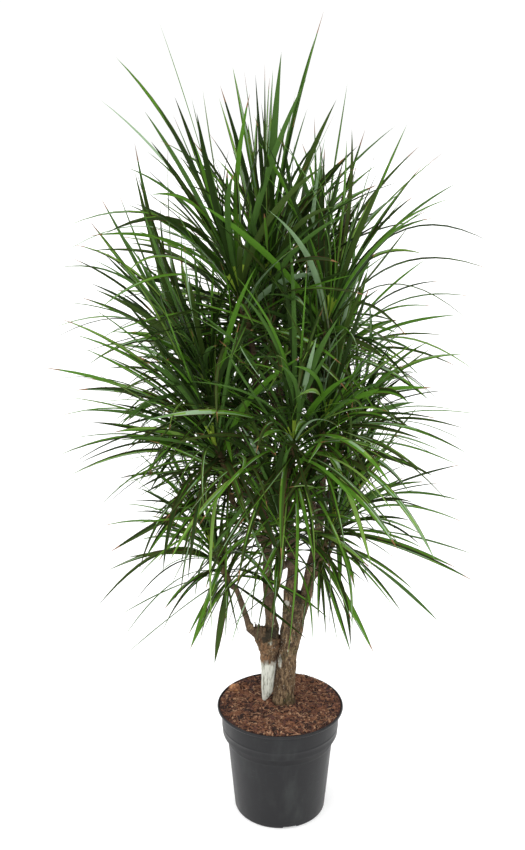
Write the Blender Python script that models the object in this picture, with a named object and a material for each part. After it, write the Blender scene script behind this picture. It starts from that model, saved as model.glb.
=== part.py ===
"""A Madagascar dragon tree in its nursery pot: two trunks that fork into canes, each with a head of leaves.

Metres, +Z up. The origin is the middle of the pot's flat underside, -Y is the front and +X is to the right.
Every limb is a curve with a taper. Each fork has a short collar fused to the parent, and the next limb
starts GAP beyond it. Each head of leaves is one solid: a stem with strap leaves in a golden-angle spiral.
The heads take turns to place a leaf, and a leaf is made only where it stays round its own head and clear
of everything else.
"""

import math
import random

import bmesh
import bpy
import numpy as np
from mathutils import Quaternion, Vector

# Clearance between pieces that rest on each other
GAP = 0.0003

# Nursery pot
POT_HEIGHT = 0.243
POT_RIM_RADIUS = 0.135
POT_RIM_DEPTH = 0.007
POT_RIM_UNDERCUT = 0.0010
POT_RIM_EASE = 0.0015
POT_COLLAR_TOP_RADIUS = 0.1275
POT_COLLAR_FOOT_RADIUS = 0.1235
POT_COLLAR_FOOT = 0.175
POT_STEP_FOOT = 0.158
POT_BODY_TOP_RADIUS = 0.1125
POT_BASE_RADIUS = 0.0985
POT_BASE_ROUND = 0.006
POT_BASE_ROUND_MIDDLE = 0.3
POT_WALL = 0.0030
POT_FLOOR = 0.0060
POT_SIDES = 32
POT_SMOOTH_ANGLE = math.radians(30)
NOTCH_COUNT = 4
NOTCH_FIRST_ANGLE = math.radians(-78)
NOTCH_SIZE = Vector((0.020, 0.024, 0.0035))

# Potting mix: flat under the trunks, a little lower along the rim, and clear of the pot's wall
SOIL_TOP = 0.2370
SOIL_EDGE_DROP = 0.0030
SOIL_FLAT_RADIUS = 0.100
SOIL_TOP_CLEARANCE = 0.0005

# Trunk cross-sections from the ground up: height, middle in X and Y, half width in X and Y
TRUNK_RIGHT = (
    (SOIL_TOP + GAP, 0.008, 0.010, 0.0260, 0.0240),
    (0.255, 0.009, 0.010, 0.0220, 0.0215),
    (0.291, 0.011, 0.010, 0.0208, 0.0200),
    (0.353, 0.017, 0.010, 0.0196, 0.0190),
    (0.418, 0.026, 0.010, 0.0231, 0.0200),
    (0.466, 0.032, 0.010, 0.0274, 0.0200),
    (0.495, 0.037, 0.010, 0.0318, 0.0190),
)
TRUNK_LEFT = (
    (SOIL_TOP + GAP, -0.0300, 0.013, 0.0098, 0.0100),
    (0.266, -0.0285, 0.013, 0.0119, 0.0115),
    (0.323, -0.0265, 0.013, 0.0146, 0.0140),
    (0.352, -0.0260, 0.013, 0.0164, 0.0160),
    (0.370, -0.0265, 0.013, 0.0215, 0.0195),
    (0.386, -0.0280, 0.013, 0.0262, 0.0220),
    (0.402, -0.0280, 0.013, 0.0255, 0.0210),
    (0.411, -0.0280, 0.013, 0.0235, 0.0185),
)
TRUNK_SIDES = 14
BARK_SMOOTH_ANGLE = math.radians(40)

# Sawn-off stubs: limb, start, end, start radius, end radius
STUBS = (
    ("trunk_left", (-0.0420, 0.010, 0.398), (-0.0435, 0.010, 0.4175), 0.0100, 0.0090),
    ("bough_top", (0.0220, 0.010, 0.553), (0.0040, 0.004, 0.5630), 0.0060, 0.0052),
    ("bough_middle_left", (-0.0680, 0.004, 0.662), (-0.0690, -0.006, 0.6820), 0.0060, 0.0054),
)

# Heads of leaves: middle of the rosette and length of a full leaf. Each is on the bough of the same name.
HEADS = {
    "top": ((-0.025, 0.010, 1.145), 0.480),
    "top_left": ((-0.085, -0.060, 1.145), 0.420),
    "top_right": ((0.088, -0.075, 1.095), 0.385),
    "top_middle": ((0.060, 0.070, 1.085), 0.370),
    "top_back": ((-0.040, 0.140, 1.055), 0.370),
    "upper_right": ((0.115, 0.090, 0.995), 0.340),
    "left": ((-0.185, 0.040, 0.980), 0.340),
    "left_upper": ((-0.140, -0.080, 0.965), 0.350),
    "left_front": ((-0.130, -0.140, 0.870), 0.350),
    "left_back": ((-0.095, 0.155, 0.890), 0.350),
    "front": ((0.020, -0.175, 0.890), 0.360),
    "right_front": ((0.080, -0.130, 0.910), 0.350),
    "right": ((0.145, 0.030, 0.860), 0.330),
    "back": ((0.030, 0.165, 0.900), 0.350),
    "middle_left": ((-0.135, -0.010, 0.800), 0.310),
    "low_left": ((-0.142, -0.050, 0.630), 0.290),
    "low_front": ((0.000, -0.120, 0.700), 0.320),
    "low_right_front": ((0.103, -0.080, 0.690), 0.320),
    "low_right": ((0.145, 0.040, 0.685), 0.300),
    "low_back": ((-0.030, 0.135, 0.700), 0.330),
}

# Boughs that stand on a trunk's flat top: head, trunk, foot in X and Y, start and end radius, way points
MAIN_BOUGHS = (
    (
        "top", "trunk_right", (0.0215, 0.010), 0.0140, 0.0066,
        ((0.026, 0.010, 0.546), (0.018, 0.010, 0.630), (-0.004, 0.010, 0.930)),
    ),
    (
        "top_right", "trunk_right", (0.0545, 0.010), 0.0122, 0.0062,
        ((0.061, 0.010, 0.546), (0.077, 0.010, 0.620), (0.082, 0.000, 0.800)),
    ),
    (
        "top_left", "trunk_left", (-0.0180, 0.012), 0.0136, 0.0062,
        ((-0.027, 0.012, 0.520), (-0.029, 0.012, 0.616), (-0.048, 0.000, 0.860)),
    ),
)

# Boughs that fork from a limb's side: head, limb, height of the fork, start and end radius, way points
SIDE_BOUGHS = (
    ("low_left", "trunk_left", 0.380, 0.0080, 0.0054, ((-0.067, 0.000, 0.439), (-0.080, -0.016, 0.510))),
    ("low_front", "bough_top", 0.550, 0.0062, 0.0054, ()),
    ("front", "bough_top", 0.650, 0.0064, 0.0054, ()),
    ("back", "bough_top", 0.690, 0.0066, 0.0054, ()),
    ("top_back", "bough_top", 0.830, 0.0064, 0.0054, ()),
    ("low_right", "bough_top_right", 0.520, 0.0062, 0.0054, ()),
    ("right", "bough_top_right", 0.680, 0.0064, 0.0056, ()),
    ("upper_right", "bough_top_right", 0.780, 0.0064, 0.0056, ()),
    ("top_middle", "bough_top_right", 0.870, 0.0064, 0.0056, ()),
    ("right_front", "bough_top_right", 0.640, 0.0062, 0.0054, ()),
    ("low_right_front", "bough_top_right", 0.545, 0.0058, 0.0052, ()),
    ("low_back", "bough_top_left", 0.530, 0.0062, 0.0054, ()),
    ("middle_left", "bough_top_left", 0.600, 0.0066, 0.0056, ((-0.068, 0.004, 0.662),)),
    ("left_back", "bough_top_left", 0.700, 0.0064, 0.0054, ()),
    ("left_front", "bough_top_left", 0.680, 0.0064, 0.0054, ()),
    ("left_upper", "bough_top_left", 0.790, 0.0064, 0.0054, ()),
    ("left", "bough_top_left", 0.740, 0.0064, 0.0054, ()),
)
BOUGH_SIDES = 7
FORK_ANGLE = math.radians(42)
FORK_CLEARANCE = 0.002
COLLAR_FLARE = 1.25
TAPER_POWER = 0.6
LIMB_STEPS = 3

# Stem of a head: share of its length and radius over the bough's at each ring
STEM_LENGTH = 0.105
STEM_RINGS = ((0.0, 1.0), (0.14, 1.6), (0.75, 1.36), (1.0, 0.8))
STEM_SIDES = 4
HEAD_LEAN = 2.8
SPACE_CENTRE_RISE = 0.05

# Leaves. Each station is a share of the length and a share of the full width. A leaf's direction at a
# station is taken over PATH_WINDOW of its length to each side.
LEAVES_TRIED = 34
LEAF_ORDER_STEP = 11
GOLDEN_ANGLE = math.radians(137.508)
LEAF_WIDTH = 0.020
LEAF_ROOT_WIDTH = 0.006
LEAF_ROOT_OFFSET = 0.002
LEAF_SLIMNESS = 92
ARCHED_STATIONS = ((0.0, 0.0), (0.34, 1.0), (0.72, 0.78), (1.0, 0.0))
STRAIGHT_STATIONS = ((0.0, 0.0), (0.45, 1.0), (1.0, 0.0))
STRAIGHT_SHARE = 0.4
PATH_STEPS = 12
PATH_WINDOW = 0.06
FIRST_LEAF = 0.16
LAST_LEAF = 0.96
YOUNG_ANGLE = math.radians(6)
OLD_ANGLE = math.radians(98)
ANGLE_POWER = 0.8
DROOP_LOW = 1.35
DROOP_TOP = 0.55
DROOP_OLD = 1.15
DROOP_YOUNG = 0.40
LOW_HEIGHT = 0.65
TOP_HEIGHT = 1.14

# Chance in a leaf's turn and tilt (radians) and in its length
TURN_CHANCE = 0.12
TILT_CHANCE = 0.10
LENGTH_CHANCE = (0.86, 1.08)
SEED = 7

# A leaf is tried with these shares of its length and lifts in degrees, and is left out if none fits
ATTEMPTS = (
    (1.0, 0), (1.0, 14), (1.0, 28),
    (0.85, 0), (0.85, 20),
    (0.7, 0), (0.7, 24),
    (0.55, 0), (0.55, 30),
    (0.4, 0),
)

# How far a leaf may pass the plane half way to another head, and how clear its centre line stays of
# limbs, other heads' stems, their leaves and its own head's leaves. A leaf counts as crowded by its own
# head's leaves only beyond CROWDED_SHARE of its length. LOWEST_LEAF holds in the middle of the plant, and
# LOWEST_LEAF_RISE lets leaves at the back hang no lower while those in front stay higher.
SPACE_OVERLAP = 0.14
LIMB_CLEARANCE = 0.0130
STEM_CLEARANCE = 0.0350
OTHER_CLEARANCE = 0.0225
OWN_CLEARANCE = 0.0120
CROWDED_SHARE = 0.3
LOWEST_LEAF = 0.390
LOWEST_LEAF_RISE = 0.42

COLOURS = {
    "pot_plastic": ((0.045, 0.048, 0.050), 0.55),
    "potting_mix": ((0.110, 0.050, 0.030), 0.95),
    "bark": ((0.170, 0.125, 0.080), 0.90),
    "leaf_green": ((0.035, 0.150, 0.025), 0.45),
}

UP = Vector((0, 0, 1))


def clear_scene():
    for ob in list(bpy.data.objects):
        bpy.data.objects.remove(ob, do_unlink=True)


def material(name):
    """The Principled material of that name, made once."""
    found = bpy.data.materials.get(name)
    if found:
        return found
    colour, roughness = COLOURS[name]
    made = bpy.data.materials.new(name)
    made.use_nodes = True
    made.diffuse_color = (*colour, 1)
    shader = made.node_tree.nodes["Principled BSDF"]
    shader.inputs["Base Color"].default_value = (*colour, 1)
    shader.inputs["Roughness"].default_value = roughness
    shader.inputs["Metallic"].default_value = 0.0
    return made


def make_object(name, bm, material_name, smooth_angle=None):
    """A linked object from a bmesh, with its faces pointing out."""
    bmesh.ops.recalc_face_normals(bm, faces=bm.faces[:])
    mesh = bpy.data.meshes.new(name)
    bm.to_mesh(mesh)
    bm.free()
    mesh.materials.append(material(material_name))
    if smooth_angle is not None:
        mesh.shade_smooth()
        mesh.set_sharp_from_angle(angle=smooth_angle)
    ob = bpy.data.objects.new(name, mesh)
    bpy.context.scene.collection.objects.link(ob)
    return ob


def evaluate_onto(ob):
    """Replace an object's mesh by its evaluated one and drop the modifiers."""
    bpy.context.view_layer.update()
    evaluated = ob.evaluated_get(bpy.context.evaluated_depsgraph_get())
    mesh = bpy.data.meshes.new_from_object(evaluated)
    ob.modifiers.clear()
    ob.data = mesh


def cut(ob, cutters):
    """Cut the cutters' shapes out of an object."""
    group = bpy.data.collections.new(ob.name + "_cutters")
    for cutter in cutters:
        group.objects.link(cutter)
        cutter.hide_render = True
        cutter.display_type = "WIRE"
    change = ob.modifiers.new("Cut", "BOOLEAN")
    change.operation = "DIFFERENCE"
    change.operand_type = "COLLECTION"
    change.collection = group
    change.solver = "EXACT"
    evaluate_onto(ob)
    remove_group(group)


def fuse(ob, others):
    """Join other closed objects to an object with one Boolean union, and remove them."""
    group = bpy.data.collections.new(ob.name + "_joined")
    for other in others:
        group.objects.link(other)
    change = ob.modifiers.new("Join", "BOOLEAN")
    change.operation = "UNION"
    change.operand_type = "COLLECTION"
    change.collection = group
    change.solver = "EXACT"
    evaluate_onto(ob)
    remove_group(group)


def remove_group(group):
    for ob in list(group.objects):
        bpy.data.objects.remove(ob, do_unlink=True)
    bpy.data.collections.remove(group)


def loft(rings):
    """A closed bmesh through rings of equal count, with a flat cap or a single point at each end."""
    bm = bmesh.new()
    made = [[bm.verts.new(point) for point in ring] for ring in rings]
    for low, high in zip(made, made[1:]):
        count = max(len(low), len(high))
        for i in range(count):
            j = (i + 1) % count
            if len(low) == 1:
                bm.faces.new((low[0], high[j], high[i]))
            elif len(high) == 1:
                bm.faces.new((low[i], low[j], high[0]))
            else:
                bm.faces.new((low[i], low[j], high[j], high[i]))
    for end in (made[0][::-1], made[-1]):
        if len(end) > 2:
            bm.faces.new(end)
    return bm


def smooth_curve(points, start_way, end_way, steps):
    """Points and directions along a Hermite curve through the given points, with the given end directions."""
    points = [Vector(p) for p in points]
    ways = []
    for i in range(len(points)):
        if i == 0:
            ways.append(Vector(start_way).normalized())
        elif i == len(points) - 1:
            ways.append(Vector(end_way).normalized())
        else:
            ways.append((points[i + 1] - points[i - 1]).normalized())
    places = []
    for (a, b), (u, v) in zip(zip(points, points[1:]), zip(ways, ways[1:])):
        span = (b - a).length
        for k in range(steps):
            t = k / steps
            places.append(
                a * (2 * t**3 - 3 * t**2 + 1) + u * span * (t**3 - 2 * t**2 + t)
                + b * (3 * t**2 - 2 * t**3) + v * span * (t**3 - t**2)
            )
    places.append(points[-1])
    middle = [(after - before).normalized() for before, after in zip(places, places[2:])]
    return places, [ways[0], *middle, ways[-1]]


def tube_rings(places, ways, radii, sides):
    """Rings square to the curve, turned no more than the curve turns."""
    across = ways[0].orthogonal().normalized()
    before = ways[0]
    rings = []
    for place, way, radius in zip(places, ways, radii):
        across = before.rotation_difference(way) @ across
        across = (across - way * across.dot(way)).normalized()
        before = way
        beside = way.cross(across)
        turns = [2 * math.pi * k / sides for k in range(sides)]
        rings.append([place + (across * math.cos(a) + beside * math.sin(a)) * radius for a in turns])
    return rings


class Limb:
    """A trunk or bough: its centre line, radius along it and the solid's object."""

    def __init__(self, name, places, ways, radii, ob):
        self.name = name
        self.places = places
        self.ways = ways
        self.radii = radii
        self.ob = ob

    def at_height(self, height):
        """Place, direction and radius where the centre line passes a height."""
        for i in range(len(self.places) - 1):
            a, b = self.places[i], self.places[i + 1]
            if a.z <= height <= b.z:
                t = (height - a.z) / (b.z - a.z)
                way = self.ways[i].lerp(self.ways[i + 1], t).normalized()
                return a.lerp(b, t), way, self.radii[i] * (1 - t) + self.radii[i + 1] * t
        raise ValueError(f"{self.name} doesn't pass the height {height}")

    def rods(self):
        """Start, end and larger radius of each straight piece."""
        return [
            (self.places[i], self.places[i + 1], max(self.radii[i : i + 2]))
            for i in range(len(self.places) - 1)
        ]


def build_pot():
    """Turned pot with a rolled rim, a collar band that steps in to the body, and notches at the foot."""
    outer = [
        (0.0, 0.0),
        (POT_BASE_RADIUS - POT_BASE_ROUND, 0.0),
        (POT_BASE_RADIUS - POT_BASE_ROUND_MIDDLE * POT_BASE_ROUND, POT_BASE_ROUND_MIDDLE * POT_BASE_ROUND),
        (POT_BASE_RADIUS, POT_BASE_ROUND),
        (POT_BODY_TOP_RADIUS, POT_STEP_FOOT),
        (POT_COLLAR_FOOT_RADIUS, POT_COLLAR_FOOT),
        (POT_COLLAR_TOP_RADIUS, POT_HEIGHT - POT_RIM_DEPTH),
        (POT_RIM_RADIUS - POT_RIM_UNDERCUT, POT_HEIGHT - POT_RIM_DEPTH),
        (POT_RIM_RADIUS, POT_HEIGHT - POT_RIM_DEPTH / 2),
        (POT_RIM_RADIUS - POT_RIM_EASE, POT_HEIGHT),
    ]
    inner = [
        (POT_COLLAR_TOP_RADIUS + POT_RIM_UNDERCUT, POT_HEIGHT),
        (POT_COLLAR_TOP_RADIUS - POT_WALL, POT_HEIGHT - POT_RIM_DEPTH),
        (POT_COLLAR_FOOT_RADIUS - POT_WALL, POT_COLLAR_FOOT + POT_WALL),
        (POT_BODY_TOP_RADIUS - POT_WALL, POT_STEP_FOOT + POT_WALL),
        (POT_BASE_RADIUS - POT_WALL, POT_FLOOR),
        (0.0, POT_FLOOR),
    ]
    pot = make_object("pot", turned(outer + inner), "pot_plastic", POT_SMOOTH_ANGLE)
    cutters = []
    for k in range(NOTCH_COUNT):
        angle = NOTCH_FIRST_ANGLE + k * 2 * math.pi / NOTCH_COUNT
        bm = bmesh.new()
        bmesh.ops.create_cube(bm, size=1.0)
        bmesh.ops.scale(bm, verts=bm.verts, vec=(NOTCH_SIZE.x, NOTCH_SIZE.y, 2 * NOTCH_SIZE.z))
        bmesh.ops.translate(bm, verts=bm.verts, vec=(POT_BASE_RADIUS, 0, 0))
        bmesh.ops.rotate(bm, verts=bm.verts, cent=(0, 0, 0), matrix=Quaternion(UP, angle).to_matrix())
        cutters.append(make_object(f"notch_{k}", bm, "pot_plastic"))
    cut(pot, cutters)


def turned(profile):
    """A closed solid turned about Z from a profile that starts and ends on the axis."""
    rings = []
    for radius, height in profile:
        if radius == 0:
            rings.append([Vector((0, 0, height))])
            continue
        turns = [2 * math.pi * k / POT_SIDES for k in range(POT_SIDES)]
        rings.append([Vector((radius * math.cos(a), radius * math.sin(a), height)) for a in turns])
    return loft(rings)


def build_soil():
    """The potting mix that fills the pot, clear of its wall."""
    wall = POT_WALL + GAP
    profile = [
        (0.0, POT_FLOOR + GAP),
        (POT_BASE_RADIUS - wall, POT_FLOOR + GAP),
        (POT_BODY_TOP_RADIUS - wall, POT_STEP_FOOT + POT_WALL),
        (POT_COLLAR_FOOT_RADIUS - wall, POT_COLLAR_FOOT + POT_WALL + GAP),
        (POT_COLLAR_TOP_RADIUS - POT_WALL - SOIL_TOP_CLEARANCE, SOIL_TOP - SOIL_EDGE_DROP),
        (SOIL_FLAT_RADIUS, SOIL_TOP),
        (0.0, SOIL_TOP),
    ]
    make_object("soil", turned(profile), "potting_mix", POT_SMOOTH_ANGLE)


def build_trunk(name, sections):
    """A trunk through its cross-sections, flat at the ground and at the fork."""
    turns = [2 * math.pi * k / TRUNK_SIDES for k in range(TRUNK_SIDES)]
    rings = []
    places = []
    for height, x, y, half_x, half_y in sections:
        places.append(Vector((x, y, height)))
        rings.append([Vector((x + half_x * math.cos(a), y + half_y * math.sin(a), height)) for a in turns])
    ob = make_object(name, loft(rings), "bark", BARK_SMOOTH_ANGLE)
    ways = [(b - a).normalized() for a, b in zip(places, places[1:])]
    radii = [max(section[3:]) for section in sections]
    return Limb(name, places, [*ways, UP], radii, ob)


def stub(name, start, end, start_radius, end_radius):
    """A short straight closed limb, for a collar or a sawn-off stub."""
    way = (Vector(end) - Vector(start)).normalized()
    rings = tube_rings([Vector(start), Vector(end)], [way, way], [start_radius, end_radius], BOUGH_SIDES)
    return make_object(name, loft(rings), "bark", BARK_SMOOTH_ANGLE)


def head_axis(place):
    """The direction that a head's stem points in: up, and away from the plant's middle."""
    return Vector((HEAD_LEAN * place[0], HEAD_LEAN * place[1], 1)).normalized()


def stem_foot(head):
    """Where a head's stem starts."""
    place = Vector(HEADS[head][0])
    return place - head_axis(place) * STEM_LENGTH


def build_bough(limbs, head, start, start_way, start_radius, end_radius, way_points, level_foot=False):
    """One tapering limb from its start to its head, with a foot square to it or level."""
    axis = head_axis(HEADS[head][0])
    end = stem_foot(head) - axis * GAP
    places, ways = smooth_curve([start, *way_points, end], start_way, axis, LIMB_STEPS)
    length = [0.0]
    for a, b in zip(places, places[1:]):
        length.append(length[-1] + (b - a).length)
    radii = [start_radius + (end_radius - start_radius) * (s / length[-1]) ** TAPER_POWER for s in length]
    rings = tube_rings(places, ways, radii, BOUGH_SIDES)
    if level_foot:
        rings[0] = [point - start_way * ((point.z - start.z) / start_way.z) for point in rings[0]]
    name = "bough_" + head
    ob = make_object(name, loft(rings), "bark", BARK_SMOOTH_ANGLE)
    limbs[name] = Limb(name, places, ways, radii, ob)


def build_main_bough(limbs, head, trunk, foot, start_radius, end_radius, way_points):
    """A bough that stands on its trunk's flat top."""
    start = Vector((*foot, limbs[trunk].places[-1].z + GAP))
    start_way = (Vector(way_points[0]) - start).normalized()
    build_bough(limbs, head, start, start_way, start_radius, end_radius, way_points, level_foot=True)


def build_side_bough(limbs, head, parent_name, fork_height, start_radius, end_radius, way_points):
    """A bough that forks from a limb's side. Returns the collar that is fused to that limb."""
    root, along, thickness = limbs[parent_name].at_height(fork_height)
    target = Vector(way_points[0]) if way_points else stem_foot(head)
    out = target - root
    out = (out - along * out.dot(along)).normalized()
    start_way = (along * math.cos(FORK_ANGLE) + out * math.sin(FORK_ANGLE)).normalized()
    reach = (thickness + start_radius * math.cos(FORK_ANGLE)) / math.sin(FORK_ANGLE) + FORK_CLEARANCE
    end = root + start_way * reach
    build_bough(limbs, head, end + start_way * GAP, start_way, start_radius, end_radius, way_points)
    return stub("collar_" + head, root, end, start_radius * COLLAR_FLARE, start_radius)


def build_limbs():
    """Both trunks and every bough, with collars and stubs fused on. Returns the limbs by name."""
    limbs = {
        "trunk_right": build_trunk("trunk_right", TRUNK_RIGHT),
        "trunk_left": build_trunk("trunk_left", TRUNK_LEFT),
    }
    for row in MAIN_BOUGHS:
        build_main_bough(limbs, *row)
    joined = {}
    for row in SIDE_BOUGHS:
        joined.setdefault(row[1], []).append(build_side_bough(limbs, *row))
    for k, (limb, *shape) in enumerate(STUBS):
        joined.setdefault(limb, []).append(stub(f"stub_{k}", *shape))
    for name, pieces in joined.items():
        fuse(limbs[name].ob, pieces)
    return limbs


def droop_of(head, share):
    """How far a leaf bends down. The lowest heads and the oldest leaves bend most."""
    height = (HEADS[head][0][2] - LOW_HEIGHT) / (TOP_HEIGHT - LOW_HEIGHT)
    by_height = DROOP_LOW + (DROOP_TOP - DROOP_LOW) * min(max(height, 0), 1)
    return by_height * (DROOP_OLD + (DROOP_YOUNG - DROOP_OLD) * share)


def leaf_path(head, share, turn, tilt, length):
    """Centre line and sideways direction of one leaf. share is 0 at the oldest and 1 at the youngest."""
    axis = head_axis(HEADS[head][0])
    across = axis.orthogonal().normalized()
    beside = axis.cross(across)
    outward = across * math.cos(turn) + beside * math.sin(turn)
    angle = OLD_ANGLE + (YOUNG_ANGLE - OLD_ANGLE) * share**ANGLE_POWER + tilt
    way = axis * math.cos(angle) + outward * math.sin(angle)
    sideways = way.cross(UP).normalized()
    on_stem = FIRST_LEAF + (LAST_LEAF - FIRST_LEAF) * share
    point = stem_foot(head) + axis * STEM_LENGTH * on_stem + outward * LEAF_ROOT_OFFSET
    bend = UP * (droop_of(head, share) / PATH_STEPS)
    path = [point.copy()]
    for _ in range(PATH_STEPS):
        way = (way - bend).normalized()
        point = point + way * (length / PATH_STEPS)
        path.append(point.copy())
    return path, sideways


def at_share(path, share):
    """The point at a share of a path of even steps."""
    place = share * (len(path) - 1)
    index = min(int(place), len(path) - 2)
    return path[index].lerp(path[index + 1], place - index)


def leaf_rings(path, sideways, length, stations):
    """Three-cornered rings of a strap leaf, flat above and with a keel below, and its pointed tip."""
    thickness = length / LEAF_SLIMNESS
    rings = []
    for share, fullness in stations:
        point = at_share(path, share)
        if share == 1.0:
            rings.append([point])
            continue
        way = at_share(path, min(share + PATH_WINDOW, 1)) - at_share(path, max(share - PATH_WINDOW, 0))
        below = way.normalized().cross(sideways).normalized()
        half = 0.5 * (LEAF_ROOT_WIDTH + (LEAF_WIDTH - LEAF_ROOT_WIDTH) * fullness)
        rings.append([point + sideways * half, point + below * thickness, point - sideways * half])
    return rings


def strays(path, head, centres):
    """True if a path goes too far past the plane half way to another head."""
    own = centres[head]
    for other, centre in centres.items():
        if other == head:
            continue
        across = (centre - own).normalized()
        half_way = (own + centre) / 2
        if max((point - half_way).dot(across) for point in path) > SPACE_OVERLAP:
            return True
    return False


class Rods:
    """Straight pieces, each with an owner and a radius, that a leaf has to keep clear of."""

    def __init__(self):
        self.rows = []
        self.owners = []

    def add(self, owner, line, radius=0.0):
        for a, b in zip(line, line[1:]):
            self.rows.append((*a, *b, radius))
            self.owners.append(owner)

    def block(self, path, clearance, owner=None, but_not=None):
        """True if the path comes too near a piece, of that owner only or of any but one."""
        names = np.array(self.owners)
        kept = (names == owner) if owner else (names != but_not)
        if not kept.any():
            return False
        rows = np.array(self.rows)[kept]
        points = np.array([tuple(point) for point in path])[:, None, :]
        starts, along = rows[:, :3], rows[:, 3:6] - rows[:, :3]
        share = ((points - starts) * along).sum(2) / (along * along).sum(1)
        nearest = starts + np.clip(share, 0, 1)[..., None] * along
        return bool((((points - nearest) ** 2).sum(2) < (rows[:, 6] + clearance) ** 2).any())


class Room:
    """What a leaf has to fit between: the limbs, the heads' stems and the leaves made so far."""

    def __init__(self, limbs):
        self.limbs = Rods()
        self.stems = Rods()
        self.leaves = Rods()
        self.centres = {}
        for name, limb in limbs.items():
            for a, b, radius in limb.rods():
                self.limbs.add(name, (a, b), radius)
        for head, (place, _) in HEADS.items():
            self.stems.add(head, (stem_foot(head), Vector(place)))
            self.centres[head] = Vector(place) + head_axis(place) * SPACE_CENTRE_RISE

    def fits(self, path, head):
        beyond = path[int(CROWDED_SHARE * PATH_STEPS) + 1 :]
        return not (
            min(point.z + LOWEST_LEAF_RISE * min(point.y, 0) for point in path) < LOWEST_LEAF
            or strays(path, head, self.centres)
            or self.limbs.block(path[1:], LIMB_CLEARANCE)
            or self.stems.block(path, STEM_CLEARANCE, but_not=head)
            or self.leaves.block(path, OTHER_CLEARANCE, but_not=head)
            or self.leaves.block(beyond, OWN_CLEARANCE, owner=head)
        )


def fitting_leaf(head, share, turn, tilt, full_length, room):
    """The path, sideways direction and length of the fullest leaf that fits, or None."""
    for shortening, lift in ATTEMPTS:
        length = full_length * shortening
        path, sideways = leaf_path(head, share, turn, tilt - math.radians(lift), length)
        if room.fits(path, head):
            return path, sideways, length
    return None


def build_stem(head):
    """The stem that a head's leaves stand on, from GAP above its bough."""
    axis = head_axis(HEADS[head][0])
    bough_radius = next(row[4] for row in (*MAIN_BOUGHS, *SIDE_BOUGHS) if row[0] == head)
    places = [stem_foot(head) + axis * STEM_LENGTH * share for share, _ in STEM_RINGS]
    radii = [bough_radius * swell for _, swell in STEM_RINGS]
    rings = tube_rings(places, [axis] * len(places), radii, STEM_SIDES)
    return make_object("leaves_" + head, loft(rings), "leaf_green")


def keep_largest_shell(ob):
    """Fill hollows that joining sealed and drop loose scraps: only the largest connected shell stays."""
    bm = bmesh.new()
    bm.from_mesh(ob.data)
    left = set(bm.verts)
    shells = []
    while left:
        shell = {left.pop()}
        edge_of_shell = list(shell)
        while edge_of_shell:
            vert = edge_of_shell.pop()
            for edge in vert.link_edges:
                other = edge.other_vert(vert)
                if other in left:
                    left.remove(other)
                    shell.add(other)
                    edge_of_shell.append(other)
        shells.append(shell)
    shells.sort(key=len)
    bmesh.ops.delete(bm, geom=[vert for shell in shells[:-1] for vert in shell], context="VERTS")
    bm.to_mesh(ob.data)
    bm.free()


def build_heads(limbs):
    """Every head of leaves. The heads take turns, so that each gets its share of the room."""
    room = Room(limbs)
    chance = random.Random(SEED)
    leaves = {head: [] for head in HEADS}
    for turn_number in range(LEAVES_TRIED):
        k = turn_number * LEAF_ORDER_STEP % LEAVES_TRIED
        share = k / (LEAVES_TRIED - 1)
        for number, (head, (_, usual_length)) in enumerate(HEADS.items()):
            turn = (k + number) * GOLDEN_ANGLE + chance.uniform(-TURN_CHANCE, TURN_CHANCE)
            tilt = chance.uniform(-TILT_CHANCE, TILT_CHANCE)
            full_length = usual_length * chance.uniform(*LENGTH_CHANCE)
            found = fitting_leaf(head, share, turn, tilt, full_length, room)
            if not found:
                continue
            path, sideways, length = found
            stations = STRAIGHT_STATIONS if share > STRAIGHT_SHARE else ARCHED_STATIONS
            room.leaves.add(head, [at_share(path, place) for place, _ in stations])
            rings = leaf_rings(path, sideways, length, stations)
            leaves[head].append(make_object(f"leaf_{head}_{k}", loft(rings), "leaf_green"))
    for head, made in leaves.items():
        stem = build_stem(head)
        fuse(stem, made)
        keep_largest_shell(stem)


def main():
    clear_scene()
    build_pot()
    build_soil()
    limbs = build_limbs()
    build_heads(limbs)


main()
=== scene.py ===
"""Looks of a potted Madagascar dragon tree: pot, potting mix, trunks and canes with bark, heads of leaves.

Metres, +Z up, the front is towards -Y. The heads, trunks and boughs are worked out by the same rule as the
solids that they stand for, and from the same named sizes but for a few millimetres at the foot of the left
trunk and up to 12 mm along the thin cane on the left.
"""

import math
import random

import bmesh
import bpy
import numpy as np
from bpy.props import FloatProperty, FloatVectorProperty, IntProperty, PointerProperty
from mathutils import Matrix, Quaternion, Vector, kdtree, noise


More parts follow.
